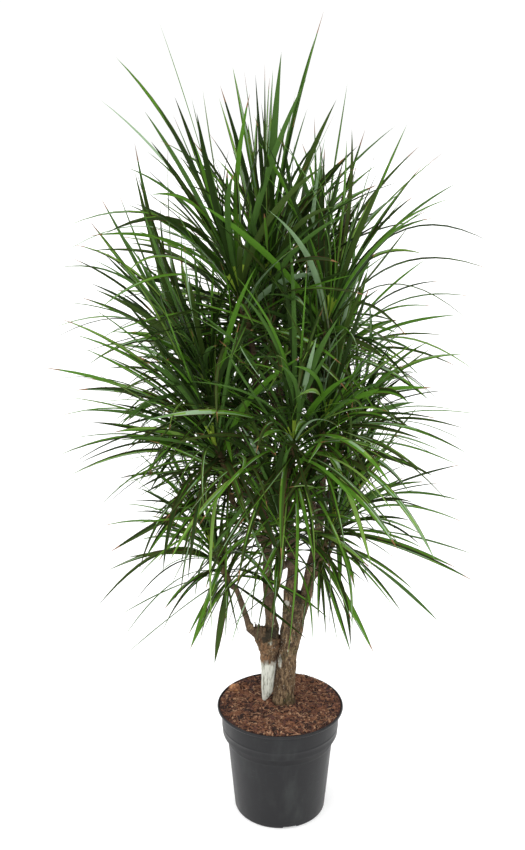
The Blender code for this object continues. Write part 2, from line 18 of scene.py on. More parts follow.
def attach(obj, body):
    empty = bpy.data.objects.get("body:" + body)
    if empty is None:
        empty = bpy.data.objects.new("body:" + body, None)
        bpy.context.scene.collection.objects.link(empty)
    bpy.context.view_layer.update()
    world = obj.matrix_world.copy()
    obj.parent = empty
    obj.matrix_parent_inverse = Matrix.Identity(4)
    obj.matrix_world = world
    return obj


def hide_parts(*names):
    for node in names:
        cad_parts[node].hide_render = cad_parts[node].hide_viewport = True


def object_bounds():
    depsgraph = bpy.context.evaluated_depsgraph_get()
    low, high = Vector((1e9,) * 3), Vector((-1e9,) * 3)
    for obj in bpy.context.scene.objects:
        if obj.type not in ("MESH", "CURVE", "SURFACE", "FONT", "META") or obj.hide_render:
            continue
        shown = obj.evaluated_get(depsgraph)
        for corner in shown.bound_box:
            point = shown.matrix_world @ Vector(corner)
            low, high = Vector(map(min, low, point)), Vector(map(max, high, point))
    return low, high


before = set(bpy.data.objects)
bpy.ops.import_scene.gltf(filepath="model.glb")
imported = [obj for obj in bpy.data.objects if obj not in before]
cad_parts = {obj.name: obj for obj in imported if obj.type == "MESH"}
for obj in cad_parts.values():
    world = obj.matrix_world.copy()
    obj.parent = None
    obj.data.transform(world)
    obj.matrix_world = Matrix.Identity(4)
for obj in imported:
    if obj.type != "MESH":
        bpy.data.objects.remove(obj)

CAD_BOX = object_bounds()

bl_info = {
    "name": "Potted Dragon Tree",
    "version": (1, 0, 0),
    "blender": (4, 5, 0),
    "location": "3D View > Sidebar > Dragon Tree",
    "description": "Builds the looks of a potted Madagascar dragon tree around its solids",
    "category": "Object",
}

UP = Vector((0, 0, 1))

# The studio: where the lights stand and what they face. The surround fades between two heights of the sky.
KEY_PLACE = (-0.8, -1.3, 3.2)
KEY_TARGET = (0, 0, 0)
FILL_PLACE = (2.2, -2.2, 1.6)
FILL_TARGET = (0, 0, 0.9)
FILL_SIZE = 1.6
SURROUND_FADE = (math.radians(9), math.radians(28))
FLOOR_SIDES = 96

# The pot, as the solids have it
POT_HEIGHT = 0.243
POT_RIM_RADIUS = 0.135
POT_RIM_DEPTH = 0.007
POT_COLLAR_TOP_RADIUS = 0.1275
POT_COLLAR_FOOT_RADIUS = 0.1235
POT_COLLAR_FOOT = 0.175
POT_STEP_FOOT = 0.158
POT_BODY_TOP_RADIUS = 0.1125
POT_BASE_RADIUS = 0.0985
POT_BASE_ROUND = 0.006
POT_FLOOR = 0.006
POT_WALL = 0.003
NOTCH_FIRST_ANGLE = math.radians(-78)
NOTCH_COUNT = 4

# What the looks change on the pot: deeper notches, a higher shoulder, a rib on the collar and a thin lip.
# LIP_FOOT and COLLAR_INNER are points inside the rim: radius and height.
NOTCH_SIZE = Vector((0.024, 0.030, 0.0050))
NOTCH_ROUND = 0.002
BASE_ARC_STEPS = 5
WALL_HEIGHTS = (0.030, 0.055, 0.080, 0.105, 0.130)
SHOULDER_FOOT = 0.162
SHOULDER_TOP = 0.181
COLLAR_FLARE = 0.0003
RIB_HEIGHT = 0.198
RIB_ROOT = 0.0013
LIP_INNER_RADIUS = 0.1322
LIP_ANGLES = range(-80, 83, 27)
LIP_FLATNESS = 0.75
LIP_FOOT = (0.1312, 0.2386)
COLLAR_INNER = (0.1262, 0.2358)
COLLAR_INNER_DROP = 0.030
POT_SMOOTH = math.radians(35)

# The bends of the pot's outline, each as steps out and up from a corner
SHOULDER_FOOT_BEND = ((-0.0001, -0.0040), (0.0, -0.0010), (0.0008, 0.0006))
SHOULDER_TOP_BEND = (
    (-0.0026, -0.0050),
    (-0.0008, -0.0016),
    (0.0, 0.0008),
    (0.0001, 0.0030),
    (0.0004, 0.0080),
)
RIB_FOOT_BEND = ((0.0012, -0.0016),)
RIB_FACE = ((0.0, -0.0006), (0.0, 0.0006))
RIB_TOP_BEND = ((0.0014, 0.0016), (0.0016, 0.0046))
UNDER_RIM_BEND = ((-0.0015, -0.020), (-0.0003, -0.005), (0.0, -0.0008), (0.0010, 0.0))
LIP_INNER_BEND = ((0.0, -0.0003), (-0.0007, -0.0020))

# The mix: its surface is heaped up to the lip and at one place higher. The noise that roughens it has a
# fineness, a layer and a share.
MIX_TOP = 0.2425
MIX_FLAT_RADIUS = 0.100
MIX_RADIUS = 0.1308
MIX_EDGE_DROP = 0.0010
MIX_EDGE_RELIEF = 0.3
MIX_SINK = 0.0012
MIX_HEAP = 0.0045
MIX_HEAP_PLACE = Vector((0.060, 0.085))
MIX_HEAP_SPREAD = 0.050
MIX_NOISE = ((45, 0.3, 0.6), (260, 1.7, 0.4))
MIX_CLEARANCE = 0.0003
MIX_EDGE_CLEARANCE = (0.0010, 0.0006)
MIX_RINGS = 60
MIX_SIDES = 160
MIX_SMOOTH = math.radians(70)
SCATTER_EDGE = 0.0045

# Chips: length, width and thickness, cut corners, lift, tilts, and how far each corner is worn. A few are
# larger, away from the edge. A weight for each colour is followed by its change where the mix is damp.
CHIP_SIZE = ((0.0025, 0.010), (0.002, 0.005), (0.001, 0.0032))
CHIP_TRUNK_CLEARANCE = 0.003
CHIP_CORNER = 0.22
CHIP_LIFT = (-0.0004, 0.0026)
CHIP_TILT = (0.35, 0.30)
CHIP_WEAR = (0.72, 1.15)
LARGE_CHIP_CHANCE = 0.06
LARGE_CHIP_GROWTH = (1.4, 2.0)
LARGE_CHIP_EDGE = 0.015
DAMP_FINENESS = 38
DAMP_LAYER = 5.1
CHIP_WEIGHTS = ((5, 0), (3.4, -4), (5, 6), (1.8, -2))
LEAST_CHIP_WEIGHT = 0.2

# Fibres, which lie bent on the mix
FIBRE_STEPS = 5
FIBRE_TRUNK_CLEARANCE = 0.005
FIBRE_LENGTH = (0.008, 0.030)
FIBRE_THICKNESS = (0.00025, 0.00055)
FIBRE_BEND = 1.4
FIBRE_LIFT = (0.0008, 0.0030)
FIBRE_ARCH = (0, 0.004)
FIBRE_EDGE = 0.002
FIBRE_WEIGHTS = (3, 1)

# The one large lump on the mix: half widths, turn and middle, and its relief as layers of noise, each with a
# fineness and a reach
LUMP_SIZE = (0.0125, 0.0105, 0.0110)
LUMP_TURN = math.radians(35)
LUMP_PLACE = (-0.098, 0.056, 0.2450)
LUMP_RELIEF = ((1.4, 0.34), (4, 0.12))
LUMP_SMOOTH = math.radians(60)

# Trunk cross-sections from the ground up: height, middle in X and Y, half width in X and Y. The left one's
# foot is more pointed than the solid's. Both go on down into the mix as far as TRUNK_FOOT.
TRUNK_FOOT = 0.229
TRUNK_STEPS = 36
TRUNKS = {
    "trunk_right": (
        (0.2373, 0.008, 0.010, 0.0260, 0.0240),
        (0.255, 0.009, 0.010, 0.0220, 0.0215),
        (0.291, 0.011, 0.010, 0.0208, 0.0200),
        (0.353, 0.017, 0.010, 0.0196, 0.0190),
        (0.418, 0.026, 0.010, 0.0231, 0.0200),
        (0.466, 0.032, 0.010, 0.0274, 0.0200),
        (0.495, 0.037, 0.010, 0.0318, 0.0190),
    ),
    "trunk_left": (
        (0.2373, -0.0350, 0.013, 0.0032, 0.0050),
        (0.2530, -0.0318, 0.013, 0.0080, 0.0090),
        (0.266, -0.0290, 0.013, 0.0114, 0.0112),
        (0.323, -0.0265, 0.013, 0.0146, 0.0140),
        (0.352, -0.0260, 0.013, 0.0164, 0.0160),
        (0.370, -0.0265, 0.013, 0.0215, 0.0195),
        (0.386, -0.0280, 0.013, 0.0262, 0.0220),
        (0.402, -0.0280, 0.013, 0.0255, 0.0210),
        (0.411, -0.0280, 0.013, 0.0235, 0.0185),
    ),
}

# Sawn-off stubs: limb, start, end, start radius, end radius
STUBS = (
    ("trunk_left", (-0.0420, 0.010, 0.394), (-0.0435, 0.010, 0.4110), 0.0100, 0.0086),
    ("bough_low_left", (-0.0660, 0.002, 0.4150), (-0.0600, -0.004, 0.4290), 0.0062, 0.0044),
    ("bough_top", (0.0220, 0.010, 0.553), (0.0040, 0.004, 0.5630), 0.0060, 0.0052),
    ("bough_middle_left", (-0.0680, 0.004, 0.662), (-0.0690, -0.006, 0.6820), 0.0060, 0.0054),
)

# Torn wood on the knuckle
SPLINTERS = 12
SPLINTER_PLACE = Vector((-0.0425, 0.006, 0.403))
SPLINTER_SPREAD = 0.0100
SPLINTER_LENGTH = (0.008, 0.024)
SPLINTER_LEAN = 0.22
SPLINTER_HALVES = [(0.0036, 0.0030), (0.0018, 0.0015)]

# Heads of leaves: middle of the rosette and length of a full leaf. Each is on the bough of the same name.
HEADS = {
    "top": ((-0.025, 0.010, 1.145), 0.480),
    "top_left": ((-0.085, -0.060, 1.145), 0.420),
    "top_right": ((0.088, -0.075, 1.095), 0.385),
    "top_middle": ((0.060, 0.070, 1.085), 0.370),
    "top_back": ((-0.040, 0.140, 1.055), 0.370),
    "upper_right": ((0.115, 0.090, 0.995), 0.340),
    "left": ((-0.185, 0.040, 0.980), 0.340),
    "left_upper": ((-0.140, -0.080, 0.965), 0.350),
    "left_front": ((-0.130, -0.140, 0.870), 0.350),
    "left_back": ((-0.095, 0.155, 0.890), 0.350),
    "front": ((0.020, -0.175, 0.890), 0.360),
    "right_front": ((0.080, -0.130, 0.910), 0.350),
    "right": ((0.145, 0.030, 0.860), 0.330),
    "back": ((0.030, 0.165, 0.900), 0.350),
    "middle_left": ((-0.135, -0.010, 0.800), 0.310),
    "low_left": ((-0.142, -0.050, 0.630), 0.290),
    "low_front": ((0.000, -0.120, 0.700), 0.320),
    "low_right_front": ((0.103, -0.080, 0.690), 0.320),
    "low_right": ((0.145, 0.040, 0.685), 0.300),
    "low_back": ((-0.030, 0.135, 0.700), 0.330),
}

# Boughs that stand on a trunk: head, trunk, foot in X and Y, start and end radius, way points
MAIN_BOUGHS = (
    (
        "top", "trunk_right", (0.0215, 0.010), 0.0140, 0.0066,
        ((0.026, 0.010, 0.546), (0.018, 0.010, 0.630), (-0.004, 0.010, 0.930)),
    ),
    (
        "top_right", "trunk_right", (0.0545, 0.010), 0.0122, 0.0062,
        ((0.061, 0.010, 0.546), (0.077, 0.010, 0.620), (0.082, 0.000, 0.800)),
    ),
    (
        "top_left", "trunk_left", (-0.0180, 0.012), 0.0136, 0.0062,
        ((-0.027, 0.012, 0.520), (-0.029, 0.012, 0.616), (-0.048, 0.000, 0.860)),
    ),
)

# Boughs that fork from a limb's side: head, limb, height of the fork, start and end radius, way points
SIDE_BOUGHS = (
    ("low_left", "trunk_left", 0.380, 0.0080, 0.0054, ((-0.0725, 0.000, 0.445), (-0.092, -0.020, 0.515))),
    ("low_front", "bough_top", 0.550, 0.0062, 0.0054, ()),
    ("front", "bough_top", 0.650, 0.0064, 0.0054, ()),
    ("back", "bough_top", 0.690, 0.0066, 0.0054, ()),
    ("top_back", "bough_top", 0.830, 0.0064, 0.0054, ()),
    ("low_right", "bough_top_right", 0.520, 0.0062, 0.0054, ()),
    ("right", "bough_top_right", 0.680, 0.0064, 0.0056, ()),
    ("upper_right", "bough_top_right", 0.780, 0.0064, 0.0056, ()),
    ("top_middle", "bough_top_right", 0.870, 0.0064, 0.0056, ()),
    ("right_front", "bough_top_right", 0.640, 0.0062, 0.0054, ()),
    ("low_right_front", "bough_top_right", 0.545, 0.0058, 0.0052, ()),
    ("low_back", "bough_top_left", 0.530, 0.0062, 0.0054, ()),
    ("middle_left", "bough_top_left", 0.600, 0.0066, 0.0056, ((-0.068, 0.004, 0.662),)),
    ("left_back", "bough_top_left", 0.700, 0.0064, 0.0054, ()),
    ("left_front", "bough_top_left", 0.680, 0.0064, 0.0054, ()),
    ("left_upper", "bough_top_left", 0.790, 0.0064, 0.0054, ()),
    ("left", "bough_top_left", 0.740, 0.0064, 0.0054, ()),
)

# The left trunk is stripped below BARE_TOP. Its ragged edge is two noises, each with its fineness and reach.
BARE_TOP = 0.343
BARE_FADE = 0.015
BARE_RAGGED_ROUND = (90, 0.008)
BARE_RAGGED_FINE = (170, 0.007)

# Patches on the bark: height and X of the middle, half height and half width. Of the dark ones, the second
# is painted shade in the hollow between the canes at the right trunk's fork, and the others make the upper
# part of the knuckle darker.
BARE_PATCHES = (
    (0.3400, 0.0005, 0.0150, 0.0030),
    (0.4780, 0.0130, 0.0060, 0.0060),
    (0.3880, -0.0200, 0.0050, 0.0040),
)
DARK_PATCHES = (
    (0.4080, -0.0200, 0.0170, 0.0150),
    (0.4900, 0.0380, 0.0240, 0.0080),
    (0.3960, -0.0330, 0.0080, 0.0080),
)

# Where the trunks grow against each other: the side that swells and how far, between two heights. There the
# bark's colour is darkened as painted shade.
MEETING = {"trunk_right": (-1, 0.0034), "trunk_left": (1, 0.0040)}
MEETING_FOOT = 0.240
MEETING_TOP = 0.425
MEETING_FOOT_FADE = 0.03
MEETING_TOP_FADE = 0.02

# How boughs grow from what carries them. A swell is a list of shares of the bough's radius, from inside the
# parent out to past the bough's start.
FORK_ANGLE = math.radians(42)
FORK_CLEARANCE = 0.002
FORK_SWELL = (1.5, 1.35, 1.12, 1.0)
FORK_LENGTH = 0.010
MAIN_FORK_SWELL = (1.05, 1.12, 1.0)
MAIN_FORK_DEPTH = 0.050
MAIN_FORK_LENGTH = 0.012
MAIN_FORK_INWARD = 0.5
TAPER_POWER = 0.6
LIMB_STEPS = 8
STEM_LENGTH = 0.105
HEAD_LEAN = 2.8
SPACE_CENTRE_RISE = 0.05
TUBE_SIDES = 18
SKIN_SMOOTHING = 3
BARK_SMOOTH = math.radians(60)

# Where a trunk's bark turns to a cane's: over the trunk's top, or along a main bough from its start, and a
# little sooner the thinner it is than CANE_RADIUS
TRUNK_CANE_FADE = (0.02, 0.04)
BOUGH_CANE_FADE = 0.05
CANE_RADIUS = 0.014
THINNESS_EFFECT = 0.25

# Grey-green growth on the left trunk and on the right one: middle height, half height, and layers of noise
# that make it ragged
LEFT_MOSS = (0.398, 0.016, ((120, 2),))
RIGHT_MOSS = (0.455, 0.05, ((55, 2), (190, 1)))
MOSS_COVER = 1.1

# The bark's relief. CRACK_WIDTH is a share of the noise that places the cracks, and CRACK_BRANCHES a finer
# layer of it. Pairs are layers of noise, each with its fineness and how far it reaches.
CRACK_WIDTH = 0.22
CRACK_BRANCHES = (2.3, 0.5)
CRACK_SHIFT = Vector((7, 3, 1))
BARK_GRAIN = (260, 260, 62)
GRAIN_FINENESS = 1.7
GRAIN_DEPTH = 0.0005
BARK_LUMP_FINENESS = 38
KNUCKLE_RISE = 0.0010
KNUCKLE_RELIEF = ((110, 0.0022), (240, 0.0014))
RING_WOBBLE = ((60, 0.0012),)
RING_SHARPNESS = 6
PATCH_RAGGED = ((130, 0.55), (330, 0.35))
PATCH_SOFTNESS = 0.35
PATCH_FRONT = 0.004
BARE_PATCH_STRENGTH = 0.6

# How much of the relief is lost on a cane, and of the lumps on bare wood
CRACK_LOSS = 0.55
CRACK_DEPTH_LOSS = 0.7
GRAIN_LOSS = 0.5
BARK_LUMP_LOSS = 0.6
BARE_LUMP_LOSS = 0.7

# What each place of the bark stores for its material
BARK_KINDS = ("cane", "bare", "knuckle", "crease", "ring", "moss", "dark")

# Leaves: how they spread and bend from the oldest to the youngest, and how far they may leave their own
# head's space. What a leaf gets by chance is a range, or a spread about zero.
GOLDEN_ANGLE = math.radians(137.508)
LEAF_ROOT_OFFSET = 0.002
LEAF_STEPS = 14
FIRST_LEAF = 0.10
LAST_LEAF = 0.98
YOUNG_ANGLE = math.radians(4)
OLD_ANGLE = math.radians(98)
ANGLE_POWER = 0.8
DROOP_LOW = 1.35
DROOP_TOP = 0.75
DROOP_OLD = 1.15
DROOP_YOUNG = 0.40
LOW_HEIGHT = 0.65
TOP_HEIGHT = 1.14
TURN_CHANCE = 0.2
TILT_SPREAD = 0.17
LENGTH_CHANCE = (0.66, 1.12)
DROOP_CHANCE = (0.3, 1.8)
DRIFT_SPREAD = 0.40
ARCH_CHANCE = (-0.1, 0.8)
TWIST_SPREAD = 0.9
SPACE_OVERLAP = 0.17
LIMB_CLEARANCE = 0.0080
STEM_CLEARANCE = 0.0200
STEM_RADIUS = 0.007
BOX_MARGINS = (0.008, 0.014)
LOWEST_LEAF = 0.390
LOWEST_LEAF_RISE = 0.42
ATTEMPTS = ((1.0, 0), (1.0, 14), (0.85, 0), (0.85, 20), (0.7, 0), (0.7, 24), (0.55, 0), (0.55, 30))

# The widths that leaves have by chance, as shares of the full width, and how much narrower they are on the
# lowest heads than on the top ones
WIDTH_CHOICES = (0.42, 0.55, 0.66, 0.76, 0.84, 0.92, 1.05, 1.20)
SLENDER = (0.78, 1.05)

# A leaf's cross-section: share of the half width across, and its place below the margins as a share of the
# channel's depth and of the thickness
LEAF_SECTION = (
    (-1.0, 0.0, 0.0),
    (-0.80, 0.20, 0.0),
    (-0.40, 0.62, 0.0),
    (0.0, 1.0, 0.0),
    (0.40, 0.62, 0.0),
    (0.80, 0.20, 0.0),
    (1.0, 0.0, 0.0),
    (0.0, 1.0, 1.0),
)
LEAF_FULLNESS = (
    (0.0, 0.60), (0.10, 0.60), (0.28, 0.88), (0.46, 1.0),
    (0.64, 0.93), (0.79, 0.70), (0.90, 0.38), (1.0, 0.0),
)

# Along a leaf: the share of its twist that it has at its foot, its channel's depth there as a share of the
# half width, what the channel loses of it over the first third, and how far out the tip stays thick
TWIST_AT_FOOT = 0.25
CHANNEL_AT_FOOT = 0.55
CHANNEL_LOSS = 0.40
FLATTENING = 3
TIP_FULLNESS = 1.6
LEAF_SMOOTH = math.radians(50)

# How deep the straight leaf that all are bent from lies below its margins, in the channel and under it
PATTERN_CHANNEL = 0.2
PATTERN_UNDER = 0.1
PATTERN_UNDER_FROM = -0.25

# The stem in a head of leaves: how it swells along its length
STEM_STEPS = 10
STEM_SIDES = 10
STEM_SWELL = ((0, 1.0), (0.14, 1.35), (0.7, 1.15), (1, 0.45))

# The leaf colours by number, with the next brighter and the next darker of the greens
DEEP, OLIVE, GREEN, FRESH, SHEEN, FOOT, UNDERSIDE, MARGIN, DRY, STEM = range(10)
BRIGHTER = (OLIVE, GREEN, FRESH, SHEEN, SHEEN)
DARKER = (DEEP, DEEP, OLIVE, GREEN)

# How often the first five colours are dealt: a weight, and its change with the leaf's age share to a power.
# The undersides have weights of their own.
UPPER_WEIGHTS = ((4.6, -2.6, 1), (2.2, -1.2, 1), (4.2, 0, 1), (0.6, 1.6, 2), (0.8, 0, 1))
UNDER_LOOKS = (DEEP, OLIVE, GREEN, SHEEN, UNDERSIDE)
UNDER_WEIGHTS = (3.6, 1.6, 1.8, 0.5, 3.5)
# How often a leaf's right half takes its left half's colour. Otherwise they are dealt apart, by chance and as
# painted light and shade on the two sides of its fold.
SAME_SIDES_CHANCE = 0.35

# A leaf has two strips to each side of its middle. Each may have a lit stretch, a painted highlight in paler
# greens, and is darker at its foot, a painted shade, or pale and then fresh on the youngest leaves. Starts
# and lengths are shares of the leaf's length.
STRIPS = 4
STRIP_EDGE = 0.8
LIT_CHANCE = 0.30
LIT_SHEEN_CHANCE = 0.40
LIT_START = (0.15, 0.75)
LIT_LENGTH = (0.12, 0.42)
SHEEN_LENGTH = (0.30, 0.60)
SHADE_LENGTH = (0.0, 0.42)
FOOT_LENGTH = 0.05
YOUNG_FROM = 0.86
YOUNG_FOOT_LENGTH = 0.12
YOUNG_FRESH_LENGTH = (0.25, 0.55)
YOUNG_PALE_SHARE = 0.5
DRY_LENGTH = 0.10
DRY_CHANCE = 0.30

# The sides of the crown: height, furthest left and furthest right in X. SLACK is how far a leaf may pass them
# by chance: least, most and most likely. Below zero it ends inside them. The leaves that make the outline
# are free of them.
CROWN_SIDES = (
    (0.40, -0.16, 0.04),
    (0.50, -0.20, 0.09),
    (0.58, -0.24, 0.15),
    (0.66, -0.28, 0.24),
    (0.84, -0.33, 0.25),
    (1.00, -0.35, 0.25),
    (1.10, -0.33, 0.19),
    (1.20, -0.33, 0.17),
    (1.30, -0.28, 0.25),
    (1.38, -0.22, 0.21),
    (1.42, -0.21, 0.12),
    (1.46, -0.20, 0.05),
)
CROWN_TOP = 1.50
SLACK = (-0.12, 0.08, -0.03)

# The open place in front of the trunks and forks
OPEN_HALF_WIDTH = 0.085
OPEN_TOP = 0.500

# Where the photo was taken from, and its width and height in pixels
VIEWPOINT = Vector((-0.038, -1.952, 1.381))
VIEW_TILT = math.radians(14.91)
VIEW_LENS = 42.86
SENSOR_HEIGHT = 36.0
PHOTO_SIZE = (525, 850)

# The leaves that make the outline, by head: their tip's column and row in the photo, its place in Y, the
# leaf's share of the full width, and how high it arches over a straight line, as a share of its length
OUTLINE_LEAVES = {
    "top": (
        (322, 21, 0.00, 1.45, 0.00), (313, 48, 0.00, 0.95, 0.00), (281, 61, -0.02, 1.4, 0.00),
        (256, 83, -0.06, 1.1, 0.00), (245, 78, -0.02, 0.9, 0.00), (234, 75, 0.02, 1.1, 0.00),
        (334, 107, -0.05, 1.2, 0.00), (332, 121, -0.08, 1.2, 0.00), (306, 115, 0.05, 1.0, 0.00),
        (222, 93, -0.04, 1.0, 0.00), (295, 98, -0.06, 1.1, 0.00), (390, 133, 0.00, 0.95, 0.04),
        (265, 70, -0.03, 0.8, 0.00), (273, 76, 0.03, 0.9, 0.00),
    ),
    "top_middle": (
        (346, 92, 0.05, 0.9, 0.00), (314, 124, 0.06, 1.0, 0.00), (363, 137, 0.03, 1.0, 0.00),
        (438, 159, 0.04, 0.8, 0.04), (415, 153, 0.05, 0.7, 0.05),
    ),
    "top_left": (
        (162, 32, 0.00, 0.5, 0.05), (121, 67, -0.08, 0.9, 0.06), (204, 97, -0.10, 1.3, 0.00),
        (177, 104, -0.06, 1.0, 0.00), (160, 112, -0.10, 1.2, 0.02), (148, 118, -0.08, 1.2, 0.00),
        (105, 107, -0.05, 0.5, 0.05), (154, 147, -0.12, 1.2, 0.00), (110, 237, -0.12, 1.0, 0.26),
        (93, 239, -0.10, 0.9, 0.14), (72, 230, -0.04, 0.5, 0.22), (95, 253, -0.08, 0.8, 0.12),
        (154, 199, -0.14, 0.9, 0.22), (60, 262, -0.02, 0.45, 0.26), (130, 172, -0.10, 0.7, 0.10),
    ),
    "top_right": (
        (346, 147, -0.08, 0.7, 0.00), (404, 132, -0.08, 1.1, 0.02), (420, 170, -0.06, 0.9, 0.04),
        (453, 188, -0.05, 1.0, 0.07), (447, 203, -0.08, 0.6, 0.10), (486, 247, -0.05, 0.5, 0.27),
        (488, 274, 0.00, 0.45, 0.20), (420, 257, -0.10, 0.9, 0.22), (405, 338, -0.14, 0.8, 0.36),
        (382, 180, -0.14, 1.0, 0.00), (470, 328, -0.04, 0.5, 0.30), (412, 200, -0.12, 0.8, 0.06),
        (430, 222, -0.10, 0.7, 0.16),
    ),
    "upper_right": (
        (453, 317, 0.04, 1.0, 0.08), (432, 309, 0.08, 0.5, 0.16), (442, 337, 0.06, 0.6, 0.10),
        (473, 374, 0.03, 0.7, 0.22), (454, 368, 0.05, 0.7, 0.16), (440, 406, 0.02, 0.6, 0.28),
        (405, 420, -0.02, 0.9, 0.18), (440, 284, 0.10, 0.6, 0.12), (470, 300, 0.06, 0.5, 0.15),
        (424, 262, 0.08, 0.7, 0.05),
    ),
    "right": (
        (461, 358, 0.00, 0.9, 0.15), (455, 412, -0.02, 0.8, 0.10), (478, 416, 0.00, 0.4, 0.08),
        (469, 447, 0.02, 0.5, 0.18), (457, 466, 0.00, 0.5, 0.12), (446, 392, 0.04, 0.6, 0.08),
        (430, 350, 0.03, 0.7, 0.02), (462, 430, -0.03, 0.6, 0.12), (440, 452, 0.03, 0.6, 0.14),
        (404, 377, 0.00, 0.8, 0.00),
    ),
    "right_front": (
        (463, 454, -0.16, 0.9, 0.14), (424, 475, -0.20, 0.9, 0.16), (413, 345, -0.16, 0.9, 0.00),
        (446, 503, -0.20, 0.7, 0.20), (436, 420, -0.20, 0.7, 0.08), (420, 440, -0.22, 0.8, 0.10),
        (425, 390, -0.18, 0.6, 0.04),
    ),
    "low_right": (
        (459, 466, 0.02, 1.0, 0.00), (458, 502, 0.00, 0.9, 0.10), (447, 517, 0.00, 0.8, 0.10),
        (432, 513, 0.04, 0.6, 0.14), (422, 536, 0.04, 0.6, 0.14), (470, 554, 0.02, 1.0, 0.02),
        (470, 580, 0.00, 1.0, 0.04), (453, 567, 0.02, 0.9, 0.04), (435, 619, -0.02, 1.5, 0.06),
        (400, 611, 0.02, 0.8, 0.10), (440, 484, 0.06, 0.6, 0.06), (462, 524, 0.04, 0.5, 0.12),
    ),
    "low_right_front": (
        (372, 650, -0.16, 1.1, 0.03), (350, 650, -0.15, 0.8, 0.02), (338, 643, -0.14, 1.1, 0.02),
        (326, 636, -0.13, 0.8, 0.02), (318, 620, -0.13, 0.8, 0.04), (412, 590, -0.14, 0.7, 0.12),
        (395, 560, -0.18, 0.7, 0.14),
    ),
    "left_upper": (
        (94, 287, -0.08, 1.0, 0.08), (77, 250, -0.06, 0.7, 0.14), (106, 257, -0.10, 0.9, 0.02),
        (92, 367, -0.10, 0.8, 0.30), (139, 179, -0.08, 0.8, 0.00), (143, 209, -0.12, 0.9, 0.00),
        (154, 232, -0.14, 0.9, 0.00), (98, 293, -0.12, 1.0, 0.06), (116, 228, -0.12, 0.7, 0.04),
    ),
    "left": (
        (169, 152, -0.02, 0.9, 0.00), (137, 152, -0.04, 0.9, 0.00), (137, 179, -0.06, 1.0, 0.00),
        (103, 202, -0.04, 0.9, 0.00), (93, 226, -0.02, 1.1, 0.00), (62, 272, 0.00, 0.5, 0.20),
        (75, 262, -0.02, 0.7, 0.08), (54, 332, 0.00, 0.5, 0.18), (52, 345, -0.03, 0.45, 0.22),
        (66, 305, 0.02, 0.6, 0.10), (84, 300, 0.04, 0.8, 0.02), (120, 196, 0.03, 0.7, 0.02),
    ),
    "left_front": (
        (96, 313, -0.14, 0.9, 0.08), (64, 323, -0.12, 0.9, 0.10), (79, 339, -0.14, 0.7, 0.10),
        (50, 371, -0.10, 1.25, 0.10), (79, 393, -0.16, 1.2, 0.12), (76, 465, -0.20, 0.9, 0.18),
        (101, 508, -0.22, 0.8, 0.20), (88, 352, -0.18, 0.7, 0.06), (110, 360, -0.20, 0.8, 0.06),
    ),
    "middle_left": (
        (87, 413, -0.04, 1.0, 0.10), (95, 424, -0.06, 1.0, 0.06), (63, 457, -0.03, 0.9, 0.17),
        (81, 466, -0.05, 0.8, 0.16), (75, 476, 0.00, 0.9, 0.18), (54, 383, 0.00, 0.45, 0.15),
        (114, 550, -0.08, 1.4, 0.04), (106, 509, -0.06, 0.8, 0.24), (76, 440, 0.03, 0.5, 0.12),
        (72, 400, 0.02, 0.6, 0.08), (60, 420, 0.00, 0.45, 0.14),
    ),
    "low_left": (
        (128, 474, -0.05, 0.9, 0.00), (100, 608, -0.06, 0.7, 0.30), (129, 558, -0.05, 0.8, 0.04),
        (123, 614, -0.06, 0.8, 0.06), (125, 639, -0.08, 0.8, 0.24), (128, 653, -0.10, 1.1, 0.04),
        (191, 648, -0.12, 0.9, 0.06), (215, 661, -0.09, 1.3, 0.03), (225, 639, -0.10, 0.8, 0.03),
        (104, 528, -0.04, 0.5, 0.16), (150, 520, -0.08, 0.8, 0.00), (111, 571, -0.03, 0.9, 0.12),
    ),
}
OUTLINE_WIDEST = math.radians(105)
OUTLINE_CREST = 0.45
OUTLINE_BOW = 0.30
OUTLINE_ARCH_CHANCE = (-0.02, 0.03)
OUTLINE_REACH = 0.480
OUTLINE_OVERSHOOT = 1.04
OUTLINE_TWIST = (0.5, 1.5)


def tint(red, green, blue):
    """The linear colour of an 8-bit screen colour."""
    shares = (red / 255, green / 255, blue / 255)
    return tuple(((s + 0.055) / 1.055) ** 2.4 if s > 0.04 else s / 12.92 for s in shares)


def colour_property(name, description, shade):
    """A colour to set, given as an 8-bit screen colour."""
    return FloatVectorProperty(
        name=name, description=description, subtype="COLOR", size=3, min=0, max=1, default=tint(*shade)
    )


def length_property(name, description, default):
    """A length to set, in metres."""
    return FloatProperty(
        name=name, description=description, default=default, min=0, unit="LENGTH", precision=4
    )


class DragonTreeStageSettings(bpy.types.PropertyGroup):
    """Floor, light and camera."""

    floor_colour: colour_property("Floor", "Colour of the floor", (232, 232, 232))
    floor_glow: FloatProperty(name="Floor glow", description="Light of the floor itself", default=0.28, min=0)
    floor_radius: length_property("Floor radius", "How far the floor reaches", 300.0)
    surround_low: FloatProperty(
        name="Low surround", description="Light of the surround at eye level", default=1.05, min=0
    )
    surround_high: FloatProperty(
        name="High surround", description="Light of the surround overhead", default=0.50, min=0
    )
    key_strength: FloatProperty(
        name="Key light", description="Strength of the main light", default=3.45, min=0
    )
    key_spread: FloatProperty(
        name="Key spread",
        description="How wide the main light is",
        default=math.radians(120),
        subtype="ANGLE",
    )
    fill_power: FloatProperty(
        name="Fill light", description="Power of the side soft light", default=8.0, min=0, unit="POWER"
    )
    camera_place: FloatVectorProperty(
        name="Camera",
        description="Where the camera stands",
        default=VIEWPOINT,
        subtype="XYZ",
        unit="LENGTH",
    )
    camera_tilt: FloatProperty(
        name="Camera tilt", description="How far the camera looks down", default=VIEW_TILT, subtype="ANGLE"
    )
    camera_lens: FloatProperty(
        name="Lens", description="Focal length", default=VIEW_LENS, min=1, subtype="DISTANCE_CAMERA"
    )


